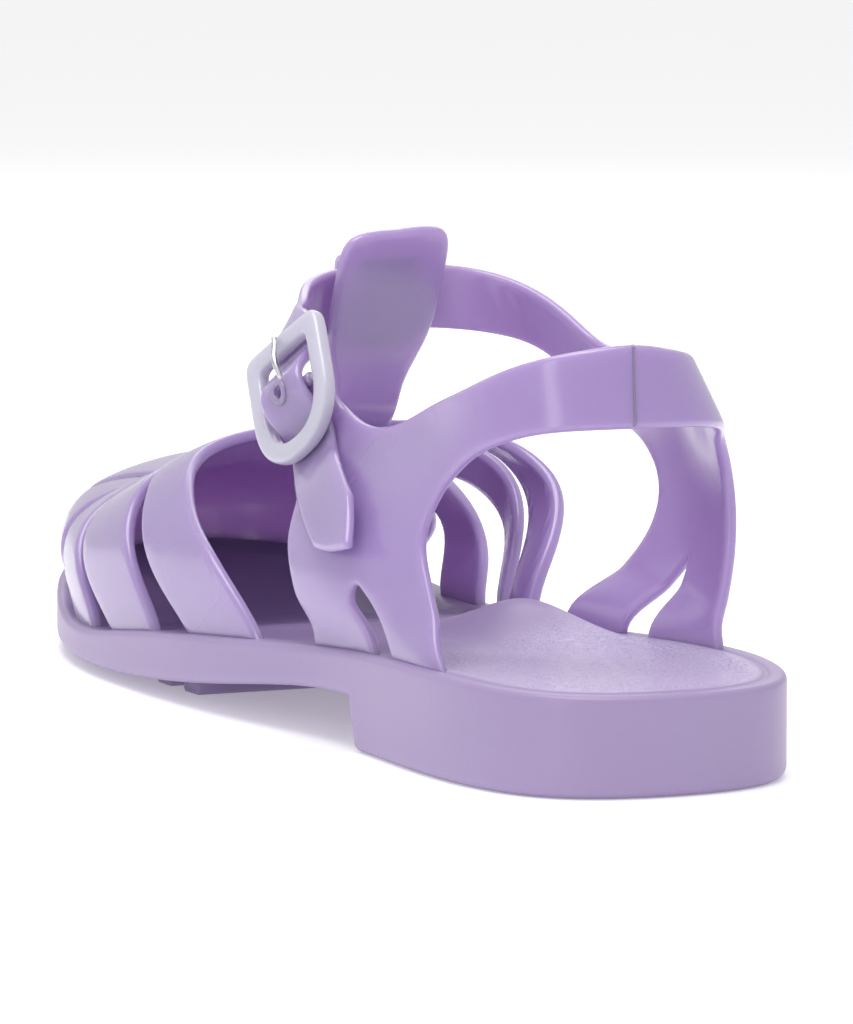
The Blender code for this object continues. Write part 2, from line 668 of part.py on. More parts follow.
def box_between(low, high, place, group):
    """Closed box between two corners, in the axes of the place."""
    shape = bmesh.new()
    bmesh.ops.create_cube(shape, size=1.0)
    size = [b - a for a, b in zip(low, high)]
    middle = [(a + b) / 2 for a, b in zip(low, high)]
    matrix = place @ Matrix.Translation(middle) @ Matrix.Diagonal((*size, 1.0))
    bmesh.ops.transform(shape, matrix=matrix, verts=shape.verts)
    mesh = bpy.data.meshes.new("box")
    shape.to_mesh(mesh)
    shape.free()
    item = bpy.data.objects.new("box", mesh)
    group.objects.link(item)
    outward(item)
    return item


def keeper(root, group):
    """Loop on the front of the tongue that the ankle strap runs through."""
    low = root[:, 2].mean()
    centre = np.array([(up, THROAT * SOLE_LENGTH - back * TONGUE_LEAN) for back, up in TONGUE_LINE])
    inner = ANKLE_STRAP_WIDTH / 2 + KEEPER_ROOM
    outer = inner + KEEPER_WALL
    front = KEEPER_FRONT
    legs = []
    for z in (STRAP_FRONT_Z - outer, STRAP_FRONT_Z + outer, STRAP_FRONT_Z + inner, STRAP_FRONT_Z - inner):
        legs.append(float(np.interp((z - low) / (TONGUE_TOP - low), centre[:, 0], centre[:, 1])))
    profile = [
        (legs[0], STRAP_FRONT_Z - outer), (front - KEEPER_WALL, STRAP_FRONT_Z - outer),
        (front, STRAP_FRONT_Z - outer + KEEPER_WALL), (front, STRAP_FRONT_Z + outer - KEEPER_WALL),
        (front - KEEPER_WALL, STRAP_FRONT_Z + outer), (legs[1], STRAP_FRONT_Z + outer),
        (legs[2], STRAP_FRONT_Z + inner), (front - KEEPER_WALL, STRAP_FRONT_Z + inner),
        (front - KEEPER_WALL, STRAP_FRONT_Z - inner), (legs[3], STRAP_FRONT_Z - inner),
    ]
    middle = SPINE_X + TAB_SHIFT * 0.6
    left, right = middle - KEEPER_WIDTH / 2, middle + KEEPER_WIDTH / 2
    count = len(profile)
    points = [(left, y, z) for y, z in profile] + [(right, y, z) for y, z in profile]
    faces = [tuple(range(count)), tuple(range(2 * count - 1, count - 1, -1))]
    faces += [(i, i + count, (i + 1) % count + count, (i + 1) % count) for i in range(count)]
    item = mesh_object("keeper", points, faces, group)
    outward(item)
    return item


def build_front(group):
    loop, root_flat = cage_loop()
    flat, triangles = fill([loop])
    item = mesh_object("upper_front", cage(flat), triangles, group)
    root = cage(root_flat)
    length = tongue_length(root)
    side = run_through([(half * TAB_WIDTH / 2, up * length) for up, half in TONGUE_SIDE], MESH_STEP * 0.75)
    tip = run_through([(half * TAB_WIDTH / 2, up * length) for up, half in TONGUE_TIP], MESH_STEP * 0.5)
    half = np.vstack([side, tip, [[0.0, length]]])
    mirror = half[::-1][1:-1] * [-1, 1]
    base = np.column_stack([root[:, 0] - SPINE_X, np.zeros(len(root))])
    half[0] = base[-1]
    tongue_loop = np.vstack([half, mirror, base[:-1]])
    flat, triangles = fill([tongue_loop], MESH_STEP * 0.8)
    tongue = mesh_object("tongue", tongue_surface(flat, root), triangles, group)
    merge(item, [tongue])
    shell(item)
    trim_feet(item)
    join(item, keeper(root, group))
    outward(item)
    return item


# Back part in plan. Its straight sides begin at SIDE_START, a share of the length. Each station round
# the heel has its share of that run on the chart, and how far round the heel it stands.
ROUND_STATIONS = [(0.0, 0.0), (0.18, 0.24), (0.54, 0.60), (1.0, 1.0)]
SIDE_STATIONS = [0.305, 0.407, 0.488]
# At each height (share of the heel strap's top): half widths as shares of half the heel width, on the
# outer and inner side at the side start and at the side stations, and the back of the heel
BACK_ROWS = [
    {"up": 0.236, "heel": (0.0, 0.10), "outer": (0.93, 1.01, 1.13, 1.20),
     "inner": (0.877, 0.80, 0.717, 0.80)},
    {"up": 0.458, "heel": (0.033, 0.40), "outer": (0.833, 1.033, 1.05, 1.10),
     "inner": (1.033, 1.10, 1.133, 1.233)},
    {"up": 0.694, "heel": (0.067, 0.733), "outer": (0.65, 0.665, 0.717, 0.827),
     "inner": (1.02, 1.22, 1.30, 1.40)},
    {"up": 0.917, "heel": (0.10, 0.883), "outer": (0.60, 0.565, 0.627, 0.76),
     "inner": (0.757, 1.11, 1.34, 1.433)},
]


def back_tables():
    """Spline weights along the chart, and the plan points of each height."""
    start = SIDE_START * SOLE_LENGTH
    half = HEEL_WIDTH / 2
    places = [share * start for share, _ in ROUND_STATIONS]
    places += [share * SOLE_LENGTH for share in SIDE_STATIONS]
    stations = [-place for place in places[:0:-1]] + places
    levels = []
    for row in BACK_ROWS:
        heel_x, heel_y = row["heel"][0] * half, row["heel"][1] * half
        plan = {}
        for side, name in ((-1, "outer"), (1, "inner")):
            side_x = side * row[name][0] * half
            points = []
            for _, turn in ROUND_STATIONS:
                angle = turn * math.pi / 2
                points.append((heel_x + (side_x - heel_x) * math.sin(angle),
                               start - (start - heel_y) * math.cos(angle)))
            for share, width in zip(SIDE_STATIONS, row[name][1:]):
                points.append((side * width * half, share * SOLE_LENGTH))
            plan[side] = points
        whole = plan[-1][:0:-1] + plan[1]
        levels.append(np.array(whole).T.ravel())
    heights = [row["up"] * HEEL_STRAP_TOP for row in BACK_ROWS]
    return spline(stations, np.eye(len(stations))), spline(heights, np.array(levels)), len(stations)


BACK_ALONG, BACK_LEVELS, BACK_COUNT = back_tables()

# Buckle: its up direction and its place, with the bars along x, the height along y and the face along z
BUCKLE_UP = BUCKLE_FACE.cross(BUCKLE_BAR).normalized()
BUCKLE_PLACE = Matrix.Translation((BUCKLE_X, BUCKLE_Y, BUCKLE_Z)) @ Matrix(
    (BUCKLE_BAR, BUCKLE_UP, BUCKLE_FACE)).transposed().to_4x4()


def back(flat):
    """Back part over its chart: along is the run from the heel back, up is the height."""
    along, up = flat[:, 0], flat[:, 1]
    weights = BACK_ALONG(along)
    levels = BACK_LEVELS(up)
    x = (weights * levels[:, :BACK_COUNT]).sum(axis=1)
    y = (weights * levels[:, BACK_COUNT:]).sum(axis=1)
    points = np.column_stack([x, y, up])
    foot = np.where(along > 0, foot_x(y, 1), foot_x(y, -1))
    near = smooth((0.36 * HEEL_STRAP_TOP - up) / (0.12 * HEEL_STRAP_TOP)) * smooth(
        (np.abs(along) - 0.13 * SOLE_LENGTH) / (0.05 * SOLE_LENGTH))
    points[:, 0] += (foot - x) * near
    local = points - np.array([BUCKLE_X, BUCKLE_Y, BUCKLE_Z])
    climb = local @ np.array(BUCKLE_UP)
    lean = TAB_LEAN * np.clip(1 + climb / TAB_LEAN_RUN, 0.0, 1.0) ** 1.5
    lean *= smooth((-along - 0.36 * SOLE_LENGTH) / (0.035 * SOLE_LENGTH))
    lean *= smooth((BUCKLE_WIDTH * 0.37 - local @ np.array(BUCKLE_BAR)) / (BUCKLE_WIDTH * 0.13))
    return points + lean[:, None] * np.array(BUCKLE_FACE)


# Edges of the back part in its chart: share of the length (outer side negative), share of the
# heel strap's top height. The numbers called foot are shares of the length on the foot line.
OUTER_FRONT = {"foot": -0.341, "edge": [(-0.346, 0.315), (-0.365, 0.411), (-0.379, 0.458),
                                        (-0.399, 0.542), (-0.419, 0.604), (-0.439, 0.674),
                                        (-0.4505, 0.749)]}
TOP_EDGE_ROWS = [(-0.4150, 0.840), (-0.4050, 0.795), (-0.3860, 0.764), (-0.343, 0.743), (-0.313, 0.757),
                 (-0.264, 0.812), (-0.191, 0.880), (-0.110, 0.944), (-0.035, 0.987), (0.0, 0.997),
                 (0.037, 0.986), (0.094, 0.962), (0.138, 0.938), (0.179, 0.903), (0.220, 0.861),
                 (0.268, 0.826), (0.317, 0.808), (0.366, 0.822), (0.400, 0.840), (0.423, 0.847)]
STRAP_ROOT = {"share": 0.423, "low": 0.681, "high": 0.847}
INNER_FRONT = {"foot": 0.3685, "edge": [(0.399, 0.660), (0.374, 0.628), (0.354, 0.585), (0.341, 0.528),
                                       (0.338, 0.465), (0.344, 0.396), (0.356, 0.319)]}
INNER_WINDOW = {"foot": (0.291, 0.2595), "edge": [(0.277, 0.340), (0.264, 0.396), (0.256, 0.421),
                                                 (0.252, 0.380), (0.2535, 0.310)]}
UNDER_EDGE = {"foot": (0.175, -0.152), "edge": [
    (0.179, 0.361), (0.182, 0.472), (0.186, 0.583), (0.185, 0.667), (0.177, 0.722), (0.155, 0.756),
    (0.122, 0.775), (0.073, 0.794), (0.0, 0.806), (-0.041, 0.803), (-0.085, 0.790), (-0.122, 0.768),
    (-0.159, 0.736), (-0.191, 0.688), (-0.210, 0.625), (-0.212, 0.546), (-0.195, 0.451), (-0.173, 0.347)]}
OUTER_WINDOW = {"foot": (-0.215, -0.249), "edge": [(-0.229, 0.290), (-0.243, 0.345), (-0.258, 0.383),
                                                  (-0.2685, 0.396), (-0.2725, 0.376), (-0.263, 0.312)]}


def chart_point(along):
    """Chart point on the foot line, at a share of the length."""
    return np.array([along * SOLE_LENGTH, rim_height(abs(along) * SOLE_LENGTH) + MEET_GAP])


def chart_run(start, end):
    count = max(2, round(abs(end - start) * SOLE_LENGTH / MESH_STEP))
    return np.array([chart_point(k) for k in np.linspace(start, end, count, endpoint=False)])


def chart_rows(rows):
    return np.array([(along * SOLE_LENGTH, up * HEEL_STRAP_TOP) for along, up in rows])


def back_loop():
    """Whole edge of the back part in its chart, and the row where the ankle strap grows from it."""
    step = MESH_STEP * 0.8
    low = chart_rows([(STRAP_ROOT["share"], STRAP_ROOT["low"])])
    high = chart_rows([(STRAP_ROOT["share"], STRAP_ROOT["high"])])
    root = high + (low - high) * np.linspace(0, 1, ROOT_COLUMNS + 1)[:, None]
    bar = chart_rows([OUTER_FRONT["edge"][-1], TOP_EDGE_ROWS[0]])
    outer_front = np.vstack([chart_point(OUTER_FRONT["foot"]), chart_rows(OUTER_FRONT["edge"])])
    inner_front = np.vstack([low, chart_rows(INNER_FRONT["edge"]), chart_point(INNER_FRONT["foot"])])

    def opening(table):
        first, last = (chart_point(share) for share in table["foot"])
        return run_through(np.vstack([first, chart_rows(table["edge"]), last]), step)

    pieces = [
        run_through(outer_front, step),
        run_through(bar, step),
        run_through(chart_rows(TOP_EDGE_ROWS), step),
        root[:-1],
        run_through(inner_front, step),
        chart_run(INNER_FRONT["foot"], INNER_WINDOW["foot"][0]),
        opening(INNER_WINDOW),
        chart_run(INNER_WINDOW["foot"][1], UNDER_EDGE["foot"][0]),
        opening(UNDER_EDGE),
        chart_run(UNDER_EDGE["foot"][1], OUTER_WINDOW["foot"][0]),
        opening(OUTER_WINDOW),
        chart_run(OUTER_WINDOW["foot"][1], OUTER_FRONT["foot"]),
    ]
    return np.vstack(pieces), root


# Ankle strap: centre line and the way to its upper edge. The first rows are in the sandal's own
# axes, as shares of the length (x, y) and of the heel strap's top (z).
STRAP_ROWS = [
    ((0.175, 0.464, 0.780), (-0.10, -0.28, 0.95)),
    ((0.172, 0.511, 0.800), (-0.15, -0.42, 0.90)),
    ((0.157, 0.555, 0.886), (-0.20, -0.45, 0.87)),
    ((0.139, 0.583, 0.935), (-0.20, -0.30, 0.93)),
    ((0.112, 0.600, 0.961), (-0.10, -0.15, 0.98)),
    ((0.077, 0.607, 0.974), (0.0, -0.10, 1.0)),
    ((0.033, 0.609, 0.975), (0.0, -0.10, 1.0)),
    ((-0.006, 0.603, 0.969), (0.05, -0.10, 0.99)),
    ((-0.035, 0.585, 0.950), (0.10, -0.20, 0.97)),
    ((-0.055, 0.553, 0.925), (0.20, -0.30, 0.93)),
    ((-0.079, 0.509, 0.924), (0.30, -0.50, 0.82)),
]
# Through the buckle: up its face and out of it, as shares of the buckle's height
STRAP_BUCKLE = [(0.47, -0.116), (0.34, -0.106), (0.165, 0.045), (0.0, 0.133), (-0.145, 0.035),
                (-0.29, -0.104), (-0.45, -0.114)]
# Free end, again in the sandal's axes
STRAP_END = [
    ((-0.1140, 0.362, 0.618), (0.40, -0.48, 0.78)),
    ((-0.1265, 0.308, 0.552), (0.37, -0.42, 0.82)),
    ((-0.1345, 0.254, 0.496), (0.35, -0.40, 0.84)),
]
# Holes of the ankle strap: place up the buckle as a share of its height, half length and half width
HOLE_PLACES = [(0.105, 0.0023, 0.0013), (-0.110, 0.0012, 0.0012)]


def strap_frame(root):
    """Centre line and edge direction of the ankle strap, by running length."""
    middle = root.mean(axis=0)
    rise = root[0] - root[-1]
    rise /= np.linalg.norm(rise)
    centres = [middle]
    rises = [rise]
    scale = np.array([SOLE_LENGTH, SOLE_LENGTH, HEEL_STRAP_TOP])
    for place, way in STRAP_ROWS:
        centres.append(np.array(place) * scale)
        rises.append(np.array(way))
    for up, out in STRAP_BUCKLE:
        centres.append(np.array(BUCKLE_PLACE @ Vector((0.0, up * BUCKLE_HEIGHT, out * BUCKLE_HEIGHT))))
        rises.append(np.array(BUCKLE_BAR))
    for place, way in STRAP_END:
        centres.append(np.array(place) * scale)
        rises.append(np.array(way))
    length = chord(centres)
    return spline(length, np.array(centres)), spline(length, np.array(rises)), length


def strap_surface(flat, root, frame):
    """Ankle strap over its flat pattern, a little narrower where it runs through the buckle."""
    centre, rise, length = frame
    t, w = flat[:, 0], flat[:, 1]
    waist = length[len(STRAP_ROWS) + 4]
    w = w * (1 - STRAP_NARROW * np.exp(-((t - waist) / BUCKLE_HEIGHT * 1.6) ** 2))
    way = rise(t)
    way /= np.linalg.norm(way, axis=1)[:, None]
    points = centre(t) + way * w[:, None]
    spots = np.linspace(-0.5, 0.5, len(root)) * ANKLE_STRAP_WIDTH
    base = np.column_stack([np.interp(w, spots, root[::-1, k]) for k in range(3)])
    first = centre(np.zeros(1)) + rise(np.zeros(1)) / np.linalg.norm(rise(np.zeros(1))) * w[:, None]
    return points + (base - first) * (1 - smooth(t / ANKLE_STRAP_WIDTH))[:, None]


def strap_patch(root, group):
    frame = strap_frame(root)
    length = frame[2]
    half = ANKLE_STRAP_WIDTH / 2
    end = length[-1]
    tip = [(end - POINT_LENGTH, half), (end - POINT_LENGTH * 0.48, half * 0.68), (end, half * 0.14),
           (end, -half * 0.14), (end - POINT_LENGTH * 0.48, -half * 0.68), (end - POINT_LENGTH, -half)]
    start = np.column_stack([np.zeros(ROOT_COLUMNS), np.linspace(-half, half, ROOT_COLUMNS + 1)[:-1]])
    loop = np.vstack([
        start,
        run_through([(0.0, half), tip[0]], STRAP_STEP),
        tip[:-1],
        run_through([tip[-1], (0.0, -half)], STRAP_STEP),
    ])
    holes = []
    fine = np.linspace(0, end, 2000)
    local = (frame[0](fine) - np.array([BUCKLE_X, BUCKLE_Y, BUCKLE_Z])) @ np.array(BUCKLE_UP)
    for up, long, wide in HOLE_PLACES:
        near = np.abs(local - up * BUCKLE_HEIGHT) + (fine < length[9]) * 1.0
        middle = fine[int(np.argmin(near))]
        turn = np.linspace(0, 2 * math.pi, 10, endpoint=False)
        holes.append(np.column_stack([middle + np.cos(turn) * long, np.sin(turn) * wide]))
    flat, triangles = fill([loop] + holes, STRAP_STEP)
    return mesh_object("strap", strap_surface(flat, root, frame), triangles, group)


def rod(radius, half_length, place, group, sides=16):
    """Closed round rod along the bar direction of the place."""
    shape = bmesh.new()
    bmesh.ops.create_cone(shape, cap_ends=True, segments=sides, radius1=radius, radius2=radius,
                          depth=half_length * 2)
    turn = Matrix.Rotation(math.pi / 2, 4, "Y")
    bmesh.ops.transform(shape, matrix=place @ turn, verts=shape.verts)
    mesh = bpy.data.meshes.new("rod")
    shape.to_mesh(mesh)
    shape.free()
    item = bpy.data.objects.new("rod", mesh)
    group.objects.link(item)
    outward(item)
    return item


def build_back(group):
    loop, root_flat = back_loop()
    flat, triangles = fill([loop])
    item = mesh_object("upper_back", back(flat), triangles, group)
    root = back(root_flat)
    merge(item, [strap_patch(root, group)])
    shell(item, STRAP_WALL)
    trim_feet(item)
    join(item, rod(SLEEVE_RADIUS, SLEEVE_LENGTH / 2, BUCKLE_PLACE, group))
    join(item, rod(CENTRE_BAR / 2 + MEET_GAP, SLEEVE_LENGTH, BUCKLE_PLACE, group), "DIFFERENCE")
    room = PRONG_WIRE / 2 + MEET_GAP * 2
    low, high = (-room, -NOTCH_REACH, -NOTCH_DEPTH), (room, NOTCH_REACH, NOTCH_RISE)
    join(item, box_between(low, high, BUCKLE_PLACE, group), "DIFFERENCE")
    outward(item)
    return item


def buckle_outline(inset, count=32):
    """Buckle outline: squarish at the top, rounded at the bottom."""
    turn = np.linspace(0, 2 * math.pi, count, endpoint=False)
    c, s = np.cos(turn), np.sin(turn)
    power = np.where(s > 0, 10.0, 3.0)
    x = (BUCKLE_WIDTH / 2 - inset) * np.sign(c) * np.abs(c) ** (2 / power)
    y = (BUCKLE_HEIGHT / 2 - inset) * np.sign(s) * np.abs(s) ** (2 / power)
    return np.column_stack([x, y])


def curve_mesh(name, curve, place, group):
    """Makes a closed mesh of a curve, with its caps welded."""
    item = bpy.data.objects.new(name, curve)
    group.objects.link(item)
    graph = bpy.context.evaluated_depsgraph_get()
    mesh = bpy.data.meshes.new_from_object(item.evaluated_get(graph))
    bpy.data.objects.remove(item, do_unlink=True)
    mesh.transform(place)
    solid = bpy.data.objects.new(name, mesh)
    group.objects.link(solid)
    shape = bmesh.new()
    shape.from_mesh(mesh)
    bmesh.ops.remove_doubles(shape, verts=shape.verts, dist=1e-6)
    shape.to_mesh(mesh)
    shape.free()
    outward(solid)
    return solid


def build_frame(group):
    curve = bpy.data.curves.new("buckle_frame", "CURVE")
    curve.dimensions = "2D"
    curve.fill_mode = "BOTH"
    edge = FRAME_THICK * 0.18
    curve.extrude = FRAME_THICK / 2 - edge
    curve.bevel_depth = edge
    curve.bevel_resolution = 0
    for inset in (edge, FRAME_BAR - edge):
        points = buckle_outline(inset)
        line = curve.splines.new("POLY")
        line.points.add(len(points) - 1)
        for spot, (x, y) in zip(line.points, points):
            spot.co = (x, y, 0.0, 1.0)
        line.use_cyclic_u = True
    item = curve_mesh("buckle_frame", curve, BUCKLE_PLACE, group)
    join(item, rod(CENTRE_BAR / 2, BUCKLE_WIDTH / 2 - FRAME_BAR / 2, BUCKLE_PLACE, group))
    outward(item)
    return item


# Prong: from the ring over the top bar, up the buckle and out of it, as shares of the buckle's height
PRONG_ROWS = [(0.04, 0.072), (0.10, 0.108), (0.18, 0.129), (0.29, 0.124), (0.43, 0.088), (0.52, 0.080)]
PRONG_RING = (375.0, 95.0, 14)


def build_prong(group):
    curve = bpy.data.curves.new("buckle_prong", "CURVE")
    curve.dimensions = "3D"
    curve.bevel_depth = PRONG_WIRE / 2
    curve.bevel_resolution = 2
    curve.use_fill_caps = True
    reach = CENTRE_BAR / 2 + MEET_GAP + PRONG_WIRE / 2
    path = []
    for turn in np.radians(np.linspace(*PRONG_RING)):
        path.append((0.0, reach * math.cos(turn), reach * math.sin(turn)))
    path += [(0.0, up * BUCKLE_HEIGHT, out * BUCKLE_HEIGHT) for up, out in PRONG_ROWS]
    line = curve.splines.new("POLY")
    line.points.add(len(path) - 1)
    for spot, point in zip(line.points, path):
        spot.co = (*point, 1.0)
    return curve_mesh("buckle_prong", curve, BUCKLE_PLACE, group)


def main():
    clear_scene()
    group = new_collection("jelly_sandal")
    sole = build_sole(group)
    sole.data.materials.append(make_material("sole_pvc", (0.42, 0.33, 0.62), 0.45))
    front = build_front(group)
    front.data.materials.append(make_material("front_pvc", (0.44, 0.34, 0.66), 0.22))
    rear = build_back(group)
    rear.data.materials.append(make_material("back_pvc", (0.44, 0.34, 0.66), 0.22))
    frame = build_frame(group)
    frame.data.materials.append(make_material("buckle_plastic", (0.86, 0.86, 0.93), 0.18))
    prong = build_prong(group)
    prong.data.materials.append(make_material("prong_steel", (0.75, 0.75, 0.76), 0.15, 1.0))
    items = (sole, front, rear, frame, prong)
    spots = np.array([spot.co for item in items for spot in item.data.vertices])
    low, high = spots.min(axis=0), spots.max(axis=0)
    middle = (low + high) / 2
    for item in items:
        item.data.transform(Matrix.Translation((-middle[0], -middle[1], -low[2])))


main()
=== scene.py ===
import math

import bmesh
import bpy
import numpy as np
from mathutils import Matrix, Vector
from mathutils.geometry import delaunay_2d_cdt


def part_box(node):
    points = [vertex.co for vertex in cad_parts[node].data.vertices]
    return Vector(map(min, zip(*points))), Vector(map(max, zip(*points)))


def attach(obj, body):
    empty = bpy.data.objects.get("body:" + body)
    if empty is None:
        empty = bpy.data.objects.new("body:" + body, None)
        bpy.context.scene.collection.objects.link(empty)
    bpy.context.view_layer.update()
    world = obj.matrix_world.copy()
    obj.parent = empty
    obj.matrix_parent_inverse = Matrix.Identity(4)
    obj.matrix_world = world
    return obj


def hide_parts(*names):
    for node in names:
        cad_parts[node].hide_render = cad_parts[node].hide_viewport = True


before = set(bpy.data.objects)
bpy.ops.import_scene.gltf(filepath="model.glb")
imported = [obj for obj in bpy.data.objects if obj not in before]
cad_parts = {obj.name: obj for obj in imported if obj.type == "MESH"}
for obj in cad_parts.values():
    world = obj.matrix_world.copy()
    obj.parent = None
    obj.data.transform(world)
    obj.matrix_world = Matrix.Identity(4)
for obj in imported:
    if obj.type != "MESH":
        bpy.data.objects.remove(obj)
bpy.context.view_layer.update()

# Sole. One low block of soft PVC, moulded with the straps: a flat heel with a steep breast, a
# thin waist and forefoot on cross bars, a raised rim, and a dished footbed with a stippled heel,
# a low arch and soft ripples. All sizes are in metres, with the heel's back at y = 0.
SOLE_LENGTH = 0.2458
BALL_INNER = 0.0425
BALL_OUTER = 0.04185
HEEL_WIDTH = 0.0600
WAIST_INNER = 0.0230
WAIST_OUTER = 0.0333
TOE_SHIFT = 0.0094
HEEL_HEIGHT = 0.0170
BREAST_Y = 0.0645
BREAST_SLOPE = 0.0025
TOP_EDGE = 0.0012
BOTTOM_EDGE = 0.0020
LEDGE_WIDTH = 0.0055
STRAP_INSET = 0.0032
FOOTBED_DISH = 0.0012
ARCH_BUMP = 0.0064
WAIST_T = 0.38


def spline(knots, values, closed=False):
    """Cubic curve with continuous bend through the rows; its ends are free, or run into each other.
    Each stretch is the straight line plus a cubic in the bends at its two ends."""
    t = np.asarray(knots, float)
    v = np.asarray(values, float)
    count = len(t)
    step = np.diff(t)
    system = np.zeros((count, count))
    right = np.zeros(v.shape)
    slope = np.diff(v, axis=0) / step.reshape((-1,) + (1,) * (v.ndim - 1))
    for i in range(1, count - 1):
        system[i, i - 1:i + 2] = step[i - 1], 2 * (step[i - 1] + step[i]), step[i]
        right[i] = 6 * (slope[i] - slope[i - 1])
    system[0, 0] = 1
    system[-1, -1] = 1
    if closed:
        system[0, -1] = -1
        system[-1, :] = 0
        system[-1, 0:2] = 2 * step[0], step[0]
        system[-1, -2:] = step[-1], 2 * step[-1]
        right[-1] = 6 * (slope[0] - slope[-1])
    bend = np.linalg.solve(system, right.reshape(count, -1)).reshape(v.shape)

    def at(q):
        """Point of the curve at q."""
        q = np.asarray(q, float)
        k = np.clip(np.searchsorted(t, q, side="right") - 1, 0, count - 2)
        width = step[k]
        a = (t[k + 1] - q) / width
        b = (q - t[k]) / width
        if v.ndim > 1:
            a, b, width = a[..., None], b[..., None], width[..., None]
        cubic = ((a**3 - a) * bend[k] + (b**3 - b) * bend[k + 1]) * width**2 / 6
        return a * v[k] + b * v[k + 1] + cubic

    return at


def chord(points):
    """Running length along a row of points."""
    steps = np.linalg.norm(np.diff(np.asarray(points, float), axis=0), axis=1)
    return np.concatenate([[0.0], np.cumsum(steps)])


def smooth(x):
    """Eases from 0 to 1: 3x squared less 2x cubed, held at its ends."""
    x = np.clip(x, 0.0, 1.0)
    return x * x * (3 - 2 * x)


# Rows: the width that the row follows, the share of it, and the share of the sole's length.
SOLE_OUTLINE = [
    (0.0, 0.0, 0.0), (HEEL_WIDTH / 2, 0.667, 0.024), (HEEL_WIDTH / 2, 1.0, 0.12),
    (WAIST_INNER, 1.15, 0.28), (WAIST_INNER, 1.0, 0.40), (BALL_INNER, 0.747, 0.552),
    (BALL_INNER, 1.0, 0.688), (BALL_INNER, 0.965, 0.812), (BALL_INNER, 0.711, 0.932),
    (TOE_SHIFT, 1.0, 1.0), (BALL_OUTER, -0.343, 0.972), (BALL_OUTER, -0.795, 0.856),
    (BALL_OUTER, -0.988, 0.72), (BALL_OUTER, -1.0, 0.592), (BALL_OUTER, -0.908, 0.44),
    (WAIST_OUTER, -0.95, 0.28), (HEEL_WIDTH / 2, -1.0, 0.12), (HEEL_WIDTH / 2, -0.667, 0.024),
]
outline_ring = np.array([(width * across, along * SOLE_LENGTH) for width, across, along in SOLE_OUTLINE])
outline_ring = np.vstack([outline_ring, outline_ring[:1]])
OUTLINE_LENGTH = chord(outline_ring)[-1]
outline_curve = spline(chord(outline_ring), outline_ring, closed=True)


def outline(t, inset=0.0):
    """Sole outline at running lengths t, moved inwards along its normal by the inset."""
    t = np.asarray(t, float) % OUTLINE_LENGTH
    small = SOLE_LENGTH * 0.002
    run = outline_curve((t + small) % OUTLINE_LENGTH) - outline_curve((t - small) % OUTLINE_LENGTH)
    run /= np.linalg.norm(run, axis=-1)[..., None]
    normal = np.stack([-run[..., 1], run[..., 0]], axis=-1)
    return outline_curve(t) + normal * np.asarray(inset)[..., None]


# Rows: share of the sole's length, and height as a share of the heel's.
TOP_ROWS = [(0.0, 1.0), (0.15, 1.041), (0.30, 0.979), (0.45, 0.838), (0.60, 0.645), (0.75, 0.478),
            (0.90, 0.763), (1.0, 0.891)]
UNDER_ROWS = [(0.272, 0.53), (0.30, 0.535), (0.45, 0.346), (0.60, 0.148), (0.75, 0.095), (0.90, 0.16),
              (1.0, 0.34)]
top_curve = spline(*zip(*TOP_ROWS))
under_curve = spline(*zip(*UNDER_ROWS))


def rim_height(y):
    """Height of the sole's rim: level at the heel, lowest ahead of the ball, with toe spring."""
    return top_curve(np.asarray(y) / SOLE_LENGTH) * HEEL_HEIGHT


def under_height(y):
    """Underside: flat under the heel, a steep breast, then the thin waist and forefoot."""
    y = np.asarray(y, float)
    fore = under_curve(np.maximum(y, BREAST_Y + BREAST_SLOPE) / SOLE_LENGTH) * HEEL_HEIGHT
    return fore * smooth((y - BREAST_Y) / BREAST_SLOPE)


outline_t = np.linspace(0.0, OUTLINE_LENGTH, 1441)
foot_line = outline(outline_t, STRAP_INSET)
edge_line = outline(outline_t)
toe_row = int(np.argmax(foot_line[:, 1]))
sole_low, sole_high = (np.array(corner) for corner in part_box("sole"))
SHIFT = np.array([sole_high[0] - edge_line[:, 0].max(), sole_low[1] - edge_line[:, 1].min(), 0.0])


def side_x(y, side, line):
    """X of a closed line at y, on the inner side (1) or the outer side (-1)."""
    top = int(np.argmax(line[:, 1]))
    half = line[: top + 1] if side > 0 else line[top:]
    order = np.argsort(half[:, 1])
    return np.interp(y, half[order, 1], half[order, 0])


def finish_mesh(name, points, faces, node, slot_name):
    """Makes a mesh object in the shared frame, smooth shaded, riding on the one body."""
    mesh = bpy.data.meshes.new(name)
    mesh.from_pydata((np.asarray(points) + SHIFT).tolist(), [], faces)
    mesh.update()
    shape = bmesh.new()
    shape.from_mesh(mesh)
    bmesh.ops.remove_doubles(shape, verts=shape.verts, dist=1e-6)
    bmesh.ops.recalc_face_normals(shape, faces=shape.faces)
    if shape.calc_volume(signed=True) < 0:
        bmesh.ops.reverse_faces(shape, faces=shape.faces)
    shape.to_mesh(mesh)
    shape.free()
    mesh.shade_smooth()
    item = bpy.data.objects.new(name, mesh)
    bpy.context.scene.collection.objects.link(item)
    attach(item, "root")
    if node:
        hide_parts(node)
    return item


def grid_faces(rows, columns, closed=False, ring=False):
    """Faces of a grid of points, row by row; closed joins its last column to its first, and ring
    its last row to its first."""
    a, b = np.meshgrid(np.arange(rows if ring else rows - 1),
                       np.arange(columns if closed else columns - 1), indexing="ij")
    c, d = (a + 1) % rows, (b + 1) % columns
    corners = (a * columns + b, a * columns + d, c * columns + d, c * columns + b)
    return np.stack(corners, axis=-1).reshape(-1, 4).tolist()


def end_caps(count, total):
    """Faces that close the first and the last ring of a tube."""
    return [list(range(count)), list(range(total - 1, total - count - 1, -1))]


